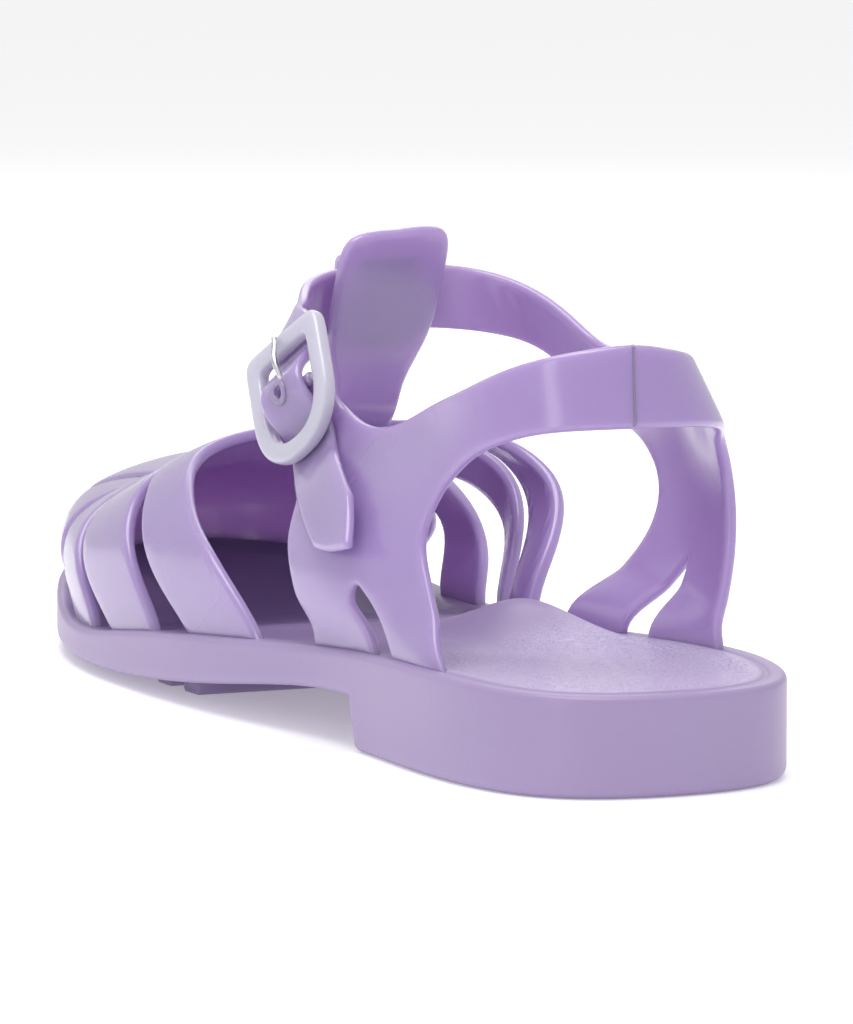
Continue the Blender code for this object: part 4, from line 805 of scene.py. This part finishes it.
def build_keeper():
    """Profile of a rounded bar, carried along a path out of the tongue, down its front and back."""
    reach = ANKLE_STRAP_WIDTH / 2 + KEEPER_ROOM + KEEPER_WALL / 2
    front_y = KEEPER_FRONT - KEEPER_WALL / 2
    corner = KEEPER_WALL * 1.2
    corner_turn = np.linspace(0, math.pi / 2, 6)
    path = []
    for sign in (-1, 1):
        z = STRAP_FRONT_Z + sign * reach
        up = (z - throat_z) / (TONGUE_TOP - throat_z)
        back = np.interp(up, [row[1] for row in TONGUE_LINE], [row[0] for row in TONGUE_LINE])
        run = [(throat_y - back * TONGUE_LEAN, z)]
        run += [(front_y - corner * (1 - math.sin(a)), z - sign * corner * (1 - math.cos(a)))
                for a in corner_turn]
        path += run if sign < 0 else run[::-1]
    path = np.array(path)
    ahead = np.gradient(path, axis=0)
    ahead /= np.linalg.norm(ahead, axis=1)[:, None]
    side = np.stack([-ahead[:, 1], ahead[:, 0]], axis=1)
    turn = np.linspace(0, 2 * math.pi, KEEPER_SIDES, endpoint=False)
    wide = KEEPER_WIDTH / 2 * np.sign(np.cos(turn)) * np.abs(np.cos(turn)) ** 0.3
    thick = KEEPER_WALL / 2 * np.sign(np.sin(turn)) * np.abs(np.sin(turn)) ** 0.6
    across = np.broadcast_to(SPINE_X + TAB_SHIFT * 0.6 + wide, (len(path), KEEPER_SIDES))
    section = path[:, None] + side[:, None] * thick[:, None]
    points = np.concatenate([across[..., None], section], axis=-1).reshape(-1, 3)
    return points, grid_faces(len(path), KEEPER_SIDES, closed=True) + end_caps(KEEPER_SIDES, len(points))


keeper = finish_mesh("tongue_keeper", *build_keeper(), None, "straps")
keeper.data.materials.append(strap_pvc)

# Back part. One moulded sheet: a quarter on two legs each side, the heel strap between them, the
# tab that holds the buckle on the outer side, and the ankle strap that runs from the inner
# quarter, through the keeper and the buckle, to its free end.
HEEL_STRAP_TOP = 0.0720
SIDE_START = 0.2035
ROUND_STATIONS = [(0.0, 0.0), (0.18, 0.24), (0.54, 0.60), (1.0, 1.0)]
SIDE_STATIONS = [0.305, 0.407, 0.488]
# Rows: height as a share of the strap's top; the heel point, and the half widths of both sides at
# the heel and at the side stations, as shares of half the heel's width.
BACK_ROWS = [
    {"up": 0.236, "heel": (0.0, 0.10),
     "outer": (0.93, 1.01, 1.13, 1.20), "inner": (0.877, 0.80, 0.717, 0.80)},
    {"up": 0.458, "heel": (0.033, 0.40),
     "outer": (0.833, 1.033, 1.05, 1.10), "inner": (1.033, 1.10, 1.133, 1.233)},
    {"up": 0.694, "heel": (0.067, 0.733),
     "outer": (0.65, 0.665, 0.717, 0.827), "inner": (1.02, 1.22, 1.30, 1.40)},
    {"up": 0.917, "heel": (0.10, 0.883),
     "outer": (0.60, 0.565, 0.627, 0.76), "inner": (0.757, 1.11, 1.34, 1.433)},
]


def back_tables():
    """Spline weights along the chart, and the plan points of each height."""
    start = SIDE_START * SOLE_LENGTH
    half = HEEL_WIDTH / 2
    places = [share * start for share, _ in ROUND_STATIONS] + [share * SOLE_LENGTH for share in SIDE_STATIONS]
    stations = [-spot for spot in places[:0:-1]] + places
    levels = []
    for row in BACK_ROWS:
        heel_x, heel_y = row["heel"][0] * half, row["heel"][1] * half
        plan = {}
        for side, name in ((-1, "outer"), (1, "inner")):
            wide = side * row[name][0] * half
            points = []
            for _, turn in ROUND_STATIONS:
                angle = turn * math.pi / 2
                points.append((heel_x + (wide - heel_x) * math.sin(angle),
                               start - (start - heel_y) * math.cos(angle)))
            for share, width in zip(SIDE_STATIONS, row[name][1:]):
                points.append((side * width * half, share * SOLE_LENGTH))
            plan[side] = points
        levels.append(np.array(plan[-1][:0:-1] + plan[1]).T.ravel())
    heights = [row["up"] * HEEL_STRAP_TOP for row in BACK_ROWS]
    return spline(stations, np.eye(len(stations))), spline(heights, np.array(levels)), len(stations)


back_along, back_levels, back_count = back_tables()
BUCKLE_WIDTH = 0.0210
BUCKLE_HEIGHT = 0.0255
BUCKLE_SPOT = np.array([-0.0260, 0.1058, 0.0574])
BUCKLE_FACING = (-0.934, -0.192, 0.305)
BUCKLE_BAR_WAY = (0.341, -0.742, 0.576)
buckle_face = Vector(BUCKLE_FACING).normalized()
buckle_bar = Vector(BUCKLE_BAR_WAY).normalized()
buckle_up = buckle_face.cross(buckle_bar).normalized()
buckle_axes = np.array([buckle_bar, buckle_up, buckle_face])
TAB_LEAN = 0.0043
TAB_LEAN_RUN = 0.0105
SIDE_ROOM = 0.00505


def back(flat):
    """Back part over its chart: along is the run from the heel's back, up is the height. Plan curves
    at four heights are joined by splines, and the tab leans out to the buckle's centre bar."""
    along, up = flat[..., 0], flat[..., 1]
    reach = SIDE_STATIONS[-1] * SOLE_LENGTH
    weights = back_along(np.clip(along, -reach - SIDE_ROOM, reach + SIDE_ROOM))
    levels = back_levels(up)
    x = (weights * levels[..., :back_count]).sum(axis=-1)
    y = (weights * levels[..., back_count:]).sum(axis=-1)
    foot = np.where(along > 0, side_x(y, 1, foot_line), side_x(y, -1, foot_line))
    near = smooth((0.36 * HEEL_STRAP_TOP - up) / (0.12 * HEEL_STRAP_TOP)) * smooth(
        (np.abs(along) - 0.13 * SOLE_LENGTH) / (0.05 * SOLE_LENGTH))
    points = np.stack([x + (foot - x) * near, y, up], axis=-1)
    apart = points - BUCKLE_SPOT
    climb = apart @ buckle_axes[1]
    lean = TAB_LEAN * np.clip(1 + climb / TAB_LEAN_RUN, 0.0, 1.0) ** 1.5
    lean = lean * smooth((-along - 0.36 * SOLE_LENGTH) / (0.035 * SOLE_LENGTH))
    lean = lean * smooth((BUCKLE_WIDTH * 0.37 - apart @ buckle_axes[0]) / (BUCKLE_WIDTH * 0.13))
    return points + lean[..., None] * buckle_axes[2]


# Edges on the chart: shares of the sole's length along, from the heel's back, and of the heel
# strap's top up. The outer side is negative.
OUTER_FRONT = {"foot": -0.341, "edge": [(-0.346, 0.315), (-0.365, 0.411), (-0.379, 0.458), (-0.399, 0.542),
                                       (-0.419, 0.604), (-0.439, 0.674), (-0.4505, 0.749)]}
TOP_EDGE_ROWS = [(-0.4150, 0.840), (-0.4050, 0.795), (-0.3860, 0.764), (-0.343, 0.743), (-0.313, 0.757),
                 (-0.264, 0.812), (-0.191, 0.880), (-0.110, 0.944), (-0.035, 0.987), (0.0, 0.997),
                 (0.037, 0.986), (0.094, 0.962), (0.138, 0.938), (0.179, 0.903), (0.220, 0.861),
                 (0.268, 0.826), (0.317, 0.808), (0.366, 0.822), (0.400, 0.840), (0.423, 0.847)]
STRAP_ROOT = {"share": 0.423, "low": 0.681, "high": 0.847}
INNER_FRONT = {"foot": 0.3685, "edge": [(0.399, 0.660), (0.374, 0.628), (0.354, 0.585), (0.341, 0.528),
                                       (0.338, 0.465), (0.344, 0.396), (0.356, 0.319)]}
INNER_WINDOW = {"foot": (0.291, 0.2595), "edge": [(0.277, 0.340), (0.264, 0.396), (0.256, 0.421),
                                                 (0.252, 0.380), (0.2535, 0.310)]}
UNDER_EDGE = {"foot": (0.175, -0.152), "edge": [
    (0.179, 0.361), (0.182, 0.472), (0.186, 0.583), (0.185, 0.667), (0.177, 0.722), (0.155, 0.756),
    (0.122, 0.775), (0.073, 0.794), (0.0, 0.806), (-0.041, 0.803), (-0.085, 0.790), (-0.122, 0.768),
    (-0.159, 0.736), (-0.191, 0.688), (-0.210, 0.625), (-0.212, 0.546), (-0.195, 0.451), (-0.173, 0.347)]}
OUTER_WINDOW = {"foot": (-0.215, -0.249), "edge": [(-0.229, 0.290), (-0.243, 0.345), (-0.258, 0.383),
                                                  (-0.2685, 0.396), (-0.2725, 0.376), (-0.263, 0.312)]}
# Rows: a place as shares of the sole's length, twice, and of the heel strap's top, and then the
# way across the strap. In the buckle they are shares of its height, up and out.
STRAP_ROWS = [
    ((0.175, 0.464, 0.780), (-0.10, -0.28, 0.95)),
    ((0.172, 0.511, 0.800), (-0.15, -0.42, 0.90)),
    ((0.157, 0.555, 0.886), (-0.20, -0.45, 0.87)),
    ((0.139, 0.583, 0.935), (-0.20, -0.30, 0.93)),
    ((0.112, 0.600, 0.961), (-0.10, -0.15, 0.98)),
    ((0.077, 0.607, 0.974), (0.0, -0.10, 1.0)),
    ((0.033, 0.609, 0.975), (0.0, -0.10, 1.0)),
    ((-0.006, 0.603, 0.969), (0.05, -0.10, 0.99)),
    ((-0.035, 0.585, 0.950), (0.10, -0.20, 0.97)),
    ((-0.055, 0.553, 0.925), (0.20, -0.30, 0.93)),
    ((-0.079, 0.509, 0.924), (0.30, -0.50, 0.82)),
]
STRAP_BUCKLE = [(0.47, -0.116), (0.34, -0.100), (0.165, 0.030), (0.0, 0.096), (-0.145, 0.024),
                (-0.29, -0.100), (-0.45, -0.114)]
STRAP_END = [
    ((-0.1140, 0.362, 0.618), (0.40, -0.48, 0.78)),
    ((-0.1265, 0.308, 0.552), (0.37, -0.42, 0.82)),
    ((-0.1345, 0.254, 0.496), (0.35, -0.40, 0.84)),
]
POINT_LENGTH = 0.0115
STRAP_WALL = 0.0020
STRAP_NARROW = 0.08
root_along = STRAP_ROOT["share"] * SOLE_LENGTH
root_low, root_high = STRAP_ROOT["low"] * HEEL_STRAP_TOP, STRAP_ROOT["high"] * HEEL_STRAP_TOP
root_ends = back(np.array([[root_along, root_low], [root_along, root_high]]))
centres = [root_ends.mean(axis=0)]
rises = [(root_ends[1] - root_ends[0]) / np.linalg.norm(root_ends[1] - root_ends[0])]
strap_scale = np.array([SOLE_LENGTH, SOLE_LENGTH, HEEL_STRAP_TOP])
for spot, way in STRAP_ROWS:
    centres.append(np.array(spot) * strap_scale)
    rises.append(np.array(way))
for up, out in STRAP_BUCKLE:
    centres.append(BUCKLE_SPOT + (buckle_axes[1] * up + buckle_axes[2] * out) * BUCKLE_HEIGHT)
    rises.append(buckle_axes[0])
for spot, way in STRAP_END:
    centres.append(np.array(spot) * strap_scale)
    rises.append(np.array(way))
strap_run = chord(centres)
strap_centre = spline(strap_run, np.array(centres))
strap_rise = spline(strap_run, np.array(rises))


def ankle_strap(t, w):
    """Ankle strap: its centre line at t plus w along its edge direction, narrower in the buckle."""
    way = strap_rise(t)
    way = way / np.linalg.norm(way, axis=-1)[..., None]
    waist = strap_run[len(STRAP_ROWS) + 4]
    w = w * (1 - STRAP_NARROW * np.exp(-((t - waist) / BUCKLE_HEIGHT * 1.6) ** 2))
    return strap_centre(t) + way * w[..., None]


def rear(flat):
    """Back part and ankle strap over one chart: past the strap's root, the run along the chart is
    the strap's running length."""
    t = flat[..., 0] - root_along
    w = (flat[..., 1] - (root_low + root_high) / 2) / (root_high - root_low) * ANKLE_STRAP_WIDTH
    plain = back(flat)
    t_held = np.clip(t, 0.0, strap_run[-1])
    strap = ankle_strap(t_held, w)
    root = back(np.stack([np.full(t.shape, root_along), flat[..., 1]], axis=-1))
    base = ankle_strap(np.zeros(t.shape), w)
    strap = strap + (root - base) * (1 - smooth(t_held / ANKLE_STRAP_WIDTH))[..., None]
    return np.where((t > 0)[..., None], strap, plain)


ROOT_RUN = 0.004
# Holes of the strap: place up the buckle as a share of its height, half length and half width.
HOLE_PLACES = [(0.150, 0.0021, 0.0012), (-0.010, 0.0010, 0.0010)]
hole_fine = np.linspace(strap_run[len(STRAP_ROWS) - 2], strap_run[-1], 3000)
hole_local = (strap_centre(hole_fine) - BUCKLE_SPOT) @ buckle_axes[1]


def hole_along(up):
    """Run along the chart to the strap's place at a share of the buckle's height."""
    return root_along + hole_fine[int(np.argmin(np.abs(hole_local - up * BUCKLE_HEIGHT)))]


def chart_rows(rows):
    """Chart points of rows of shares."""
    return np.array([(along * SOLE_LENGTH, up * HEEL_STRAP_TOP) for along, up in rows])


def chart_foot(along):
    """Chart point of a strap's foot, a little below the sole's top."""
    return np.array([along * SOLE_LENGTH, float(rim_height(abs(along) * SOLE_LENGTH)) - FOOT_SINK])


def rear_loops(step):
    """Whole edge of the back part with its strap, and the strap's holes."""
    middle = (root_low + root_high) / 2
    end = root_along + strap_run[-1]
    half = (root_high - root_low) / 2
    root = root_along + ROOT_RUN
    tip = [(end - POINT_LENGTH, half), (end - POINT_LENGTH * 0.55, half * 0.66),
           (end - POINT_LENGTH * 0.08, half * 0.14), (end, 0.0), (end - POINT_LENGTH * 0.08, -half * 0.14),
           (end - POINT_LENGTH * 0.55, -half * 0.66), (end - POINT_LENGTH, -half)]
    tip = np.array([(x, middle + z) for x, z in tip])
    high_line = [(root, root_high), (end - POINT_LENGTH, root_high)]
    low_line = [(end - POINT_LENGTH, root_low), (root, root_low)]

    def feet(start, stop):
        """Line along a leg's foot between two shares."""
        count = max(2, round(abs(stop - start) * SOLE_LENGTH / step))
        return np.array([chart_foot(k) for k in np.linspace(start, stop, count, endpoint=False)])

    def edge(first, rows, last):
        """Edge of an opening, from foot to foot."""
        return run_through(np.vstack([chart_foot(first), chart_rows(rows), chart_foot(last)]), step)

    bar = chart_rows([OUTER_FRONT["edge"][-1], TOP_EDGE_ROWS[0]])
    top = chart_rows(TOP_EDGE_ROWS[:-1] + [(STRAP_ROOT["share"] + 0.016, STRAP_ROOT["high"])])
    front_rows = np.vstack([[(root, root_low)], chart_rows(INNER_FRONT["edge"]),
                            [chart_foot(INNER_FRONT["foot"])]])
    outer = np.vstack([
        run_through(np.vstack([chart_foot(OUTER_FRONT["foot"]), chart_rows(OUTER_FRONT["edge"])]), step),
        run_through(bar, step),
        run_through(np.vstack([top[:-1], high_line[0]]), step),
        run_through(high_line, step),
        run_through(tip, step),
        run_through(low_line, step),
        run_through(front_rows, step),
        feet(INNER_FRONT["foot"], INNER_WINDOW["foot"][0]),
        edge(INNER_WINDOW["foot"][0], INNER_WINDOW["edge"], INNER_WINDOW["foot"][1]),
        feet(INNER_WINDOW["foot"][1], UNDER_EDGE["foot"][0]),
        edge(UNDER_EDGE["foot"][0], UNDER_EDGE["edge"], UNDER_EDGE["foot"][1]),
        feet(UNDER_EDGE["foot"][1], OUTER_WINDOW["foot"][0]),
        edge(OUTER_WINDOW["foot"][0], OUTER_WINDOW["edge"], OUTER_WINDOW["foot"][1]),
        feet(OUTER_WINDOW["foot"][1], OUTER_FRONT["foot"]),
    ])
    turn = np.linspace(0, 2 * math.pi, 20, endpoint=False)
    holes = []
    for up, long, wide in HOLE_PLACES:
        rise = wide * (root_high - root_low) / ANKLE_STRAP_WIDTH
        holes.append(np.column_stack([hole_along(up) + np.cos(turn) * long, middle + np.sin(turn) * rise]))
    return [outer] + holes


back_piece = finish_mesh("back_straps", *rounded_sheet(rear_loops(EDGE_STEP), rear, STRAP_WALL),
                         "upper_back", "straps")
back_piece.data.materials.append(strap_pvc)
RING_RADIUS = 0.0016
RING_WIRE = 0.0006
RING_STEPS = 36
RING_SIDES = 10
SEAM_WIDTH = 0.0005
SEAM_RISE = 0.00022
SEAM_SINK = 0.0002
INSIDE_SPOT = np.array([0.0, 0.10, 0.05])


def on_rear(flat, out):
    """Points on the back part's chart, moved out along its outward normal."""
    normal = sheet_normal(rear, flat)
    facing = np.sign(((rear(flat) - INSIDE_SPOT) * normal).sum(axis=-1))
    return rear(flat) + normal * (facing * out)[..., None]


def build_hole_ring():
    """Round lip of the open strap hole: a small section carried round a circle in the chart."""
    spot = hole_along(HOLE_PLACES[1][0])
    middle = (root_low + root_high) / 2
    scale = (root_high - root_low) / ANKLE_STRAP_WIDTH
    turn, tube = np.meshgrid(np.linspace(0, 2 * math.pi, RING_STEPS, endpoint=False),
                             np.linspace(0, 2 * math.pi, RING_SIDES, endpoint=False), indexing="ij")
    reach = RING_RADIUS + RING_WIRE * np.cos(tube)
    flat = np.stack([spot + reach * np.cos(turn), middle + reach * np.sin(turn) * scale], axis=-1)
    points = on_rear(flat, STRAP_WALL / 2 + RING_WIRE * 0.7 * np.sin(tube))
    return points.reshape(-1, 3), grid_faces(RING_STEPS, RING_SIDES, closed=True, ring=True)


def build_heel_seam():
    """Fine moulding line up the back of the heel strap: a low half round section along its height."""
    up = np.linspace(0.807, 0.996, 40) * HEEL_STRAP_TOP
    across = np.linspace(-0.5, 0.5, 7)
    flat = np.stack(np.broadcast_arrays(across * SEAM_WIDTH, up[:, None]), axis=-1)
    rise = SEAM_RISE * np.sqrt(np.clip(1 - (2 * across) ** 2, 0, 1))
    front_face = on_rear(flat, np.broadcast_to(STRAP_WALL / 2 + rise, flat.shape[:-1]))
    back_face = on_rear(flat[:, ::-1], np.full(flat.shape[:-1], STRAP_WALL / 2 - SEAM_SINK))
    points = np.concatenate([front_face, back_face], axis=1).reshape(-1, 3)
    count = 2 * len(across)
    return points, grid_faces(len(up), count, closed=True) + end_caps(count, len(points))


for name, built in (("strap_hole_ring", build_hole_ring()), ("heel_seam", build_heel_seam())):
    item = finish_mesh(name, *built, None, "straps")
    item.data.materials.append(strap_pvc)

# Buckle. A frame of milky plastic, squarish at its top bar and round at its lower end, with a
# centre bar in the tab's sleeve.
FRAME_BAR = 0.0036
FRAME_THICK = 0.0030
CENTRE_BAR = 0.0016
BUCKLE_COLOUR = (0.485, 0.477, 0.570, 1.0)
BUCKLE_PALE = (0.50, 0.49, 0.59, 1.0)
SLEEVE_RADIUS = 0.0013
SLEEVE_LENGTH = 0.0120


def buckle_line(inset, turn):
    """Buckle outline: a superellipse, nearly square above its middle and rounder below."""
    c, s = np.cos(turn), np.sin(turn)
    power = np.where(s > 0, 10.0, 2.4)
    x = (BUCKLE_WIDTH / 2 - inset) * np.sign(c) * np.abs(c) ** (2 / power)
    y = (BUCKLE_HEIGHT / 2 - inset) * np.sign(s) * np.abs(s) ** (2 / power)
    return x, y


def to_buckle(x, y, z):
    """Turns buckle coordinates (along the bar, up, out) into the sandal's own."""
    return BUCKLE_SPOT + np.stack([x, y, z], axis=-1) @ buckle_axes


def build_buckle():
    """A rounded section carried round the buckle's outline, from its outer to its inner edge."""
    turn = np.linspace(0, 2 * math.pi, 144, endpoint=False)
    around = np.linspace(0, 2 * math.pi, 20, endpoint=False)
    inset = FRAME_BAR / 2 - FRAME_BAR / 2 * np.sign(np.cos(around)) * np.abs(np.cos(around)) ** 0.55
    out = FRAME_THICK / 2 * np.sign(np.sin(around)) * np.abs(np.sin(around)) ** 0.55
    count, size = len(turn), len(around)
    x, y = buckle_line(inset, turn[:, None])
    points = to_buckle(x, y, np.broadcast_to(out, (count, size)))
    return points.reshape(-1, 3), grid_faces(count, size, closed=True, ring=True)


def build_rod(radius, half, sides=24):
    """A round rod along the buckle's bar, with slightly rounded ends."""
    turn = np.linspace(0, 2 * math.pi, sides, endpoint=False)
    rings = []
    for x, share in ((-half, 0.0), (-half, 0.8), (-half + radius * 0.2, 1.0), (half - radius * 0.2, 1.0),
                     (half, 0.8), (half, 0.0)):
        r = max(radius * share, 1e-5)
        rings.append(to_buckle(np.full(sides, x), r * np.cos(turn), r * np.sin(turn)))
    return np.vstack(rings), grid_faces(len(rings), sides, closed=True)


buckle = finish_mesh("buckle_plate", *build_buckle(), "buckle_frame", "buckle")
bar = finish_mesh("buckle_bar", *build_rod(CENTRE_BAR / 2, BUCKLE_WIDTH / 2 - FRAME_BAR / 2), None, "buckle")
sleeve = finish_mesh("buckle_sleeve", *build_rod(SLEEVE_RADIUS, SLEEVE_LENGTH / 2), None, "straps")
sleeve.data.materials.append(strap_pvc)
material, shader, place = start_material("buckle_plastic", 0.16, coat=0.5, subsurface=0.45)
cloud = place.noise(120.0, 1.0)
feed(shader, "Base Color", cloud.step(0.3, 0.7).blend(BUCKLE_COLOUR, BUCKLE_PALE))
feed(shader, "Roughness", cloud * 0.08 + 0.12)
for item in (buckle, bar):
    item.data.materials.append(material)

# Prong. A bent wire of bright steel, looped round the centre bar, up through the strap's hole and
# over the top bar.
PRONG_WIRE = 0.0010
PRONG_ROOM = 0.0003
PRONG_STEPS = 110
PRONG_SIDES = 14
STEEL_COLOUR = (0.62, 0.62, 0.63, 1.0)
STEEL_PALE = (0.80, 0.80, 0.81, 1.0)
# Rows: shares of the buckle's height, up and out.
PRONG_ROWS = [(0.05, 0.064), (0.11, 0.082), (0.19, 0.112), (0.29, 0.118), (0.39, 0.098), (0.47, 0.088)]


def build_prong():
    """A round section carried along a ring round the bar and then along the prong's own curve."""
    reach = CENTRE_BAR / 2 + PRONG_ROOM + PRONG_WIRE / 2
    ring = [(reach * math.cos(a), reach * math.sin(a)) for a in np.radians(np.linspace(375.0, 95.0, 20))]
    rest = [(up * BUCKLE_HEIGHT, out * BUCKLE_HEIGHT) for up, out in PRONG_ROWS]
    path = np.array(ring + rest)
    curve = spline(chord(path), path)
    fine = curve(np.linspace(0, chord(path)[-1], PRONG_STEPS))
    ahead = np.gradient(fine, axis=0)
    ahead /= np.linalg.norm(ahead, axis=1)[:, None]
    side = np.stack([-ahead[:, 1], ahead[:, 0]], axis=1)
    turn = np.linspace(0, 2 * math.pi, PRONG_SIDES, endpoint=False)
    at = np.arange(PRONG_STEPS)
    from_end = np.minimum(at, at[::-1])[:, None]
    size = np.clip(from_end / 2.0, 0.02, 1.0) ** 0.5 * PRONG_WIRE / 2
    x = size * np.cos(turn)
    y = fine[:, 0:1] + side[:, 0:1] * size * np.sin(turn)
    z = fine[:, 1:2] + side[:, 1:2] * size * np.sin(turn)
    points = to_buckle(x, y, z).reshape(-1, 3)
    return points, grid_faces(PRONG_STEPS, PRONG_SIDES, closed=True) + end_caps(PRONG_SIDES, len(points))


prong = finish_mesh("buckle_pin", *build_prong(), "buckle_prong", "prong")
material, shader, place = start_material("prong_steel", 0.16)
shader.inputs["Metallic"].default_value = 1.0
cloud = place.noise(900.0, 2.0)
feed(shader, "Base Color", cloud.step(0.3, 0.7).blend(STEEL_COLOUR, STEEL_PALE))
feed(shader, "Roughness", cloud * 0.15 + 0.10)
prong.data.materials.append(material)

# Floor and light. A pale studio floor that glows a little, a white room, and three soft lights: one
# above, a narrow one at the outer side and one behind.
FLOOR_HALF = 6
floor_mesh = bpy.data.meshes.new("floor")
floor_mesh.from_pydata([(x * FLOOR_HALF, y * FLOOR_HALF, 0) for x, y in ((-1, -1), (1, -1), (1, 1), (-1, 1))],
                       [], [(0, 1, 2, 3)])
floor = bpy.data.objects.new("floor", floor_mesh)
bpy.context.scene.collection.objects.link(floor)
material, shader, place = start_material("floor_paper", 0.6)
shader.inputs["Base Color"].default_value = (0.92, 0.92, 0.93, 1.0)
shader.inputs["Emission Color"].default_value = (1.0, 1.0, 1.0, 1.0)
shader.inputs["Emission Strength"].default_value = 0.25
floor_mesh.materials.append(material)

world = bpy.data.worlds.new("studio")
world.use_nodes = True
world.node_tree.nodes["Background"].inputs["Color"].default_value = (1.0, 1.0, 1.0, 1.0)
world.node_tree.nodes["Background"].inputs["Strength"].default_value = 0.70
bpy.context.scene.world = world


def soft_light(name, spot, aim, size, power):
    """Rectangular light at a spot, turned to its aim."""
    lamp = bpy.data.lights.new(name, "AREA")
    lamp.shape = "RECTANGLE"
    lamp.size, lamp.size_y = size
    lamp.energy = power
    item = bpy.data.objects.new(name, lamp)
    item.location = spot
    item.rotation_euler = (Vector(aim) - Vector(spot)).to_track_quat("-Z", "Y").to_euler()
    bpy.context.scene.collection.objects.link(item)


soft_light("top_light", (-0.15, -0.1, 1.1), (0, 0, 0), (0.8, 0.6), 7.0)
soft_light("side_light", (-1.05, -0.80, 0.42), (0, 0, 0.03), (0.30, 0.8), 1.8)
soft_light("back_light", (0.5, 1.0, 0.8), (0, 0, 0.03), (0.9, 0.6), 2.5)

# Camera. The photograph looks at the left shoe from behind its outer side, from a little above
# the floor, through a long lens. The same view is kept, closer and turned to the one shoe.
EYE = (-0.4255, -0.8983, 0.1647)
LOOK = (0.4296, 0.9030)
PITCH = 0.1140
PHOTO_LENS = 136.8
ZOOM = 1.9
PAN = (0.0436, -0.0040)
SENSOR_WIDTH = 36.0
lens = bpy.data.cameras.new("camera")
lens.sensor_fit = "HORIZONTAL"
lens.sensor_width = SENSOR_WIDTH
lens.lens = PHOTO_LENS * ZOOM
lens.clip_start = 0.05
camera = bpy.data.objects.new("camera", lens)
camera.location = np.array(EYE) + SHIFT
aim = Vector((LOOK[0], LOOK[1], -math.tan(PITCH)))
turned = Matrix.Rotation(PAN[0], 3, "Z") @ aim
camera.rotation_euler = turned.to_track_quat("-Z", "Y").to_euler()
camera.rotation_euler.rotate_axis("X", PAN[1])
bpy.context.scene.collection.objects.link(camera)
bpy.context.scene.camera = camera
bpy.context.scene.view_settings.view_transform = "Standard"
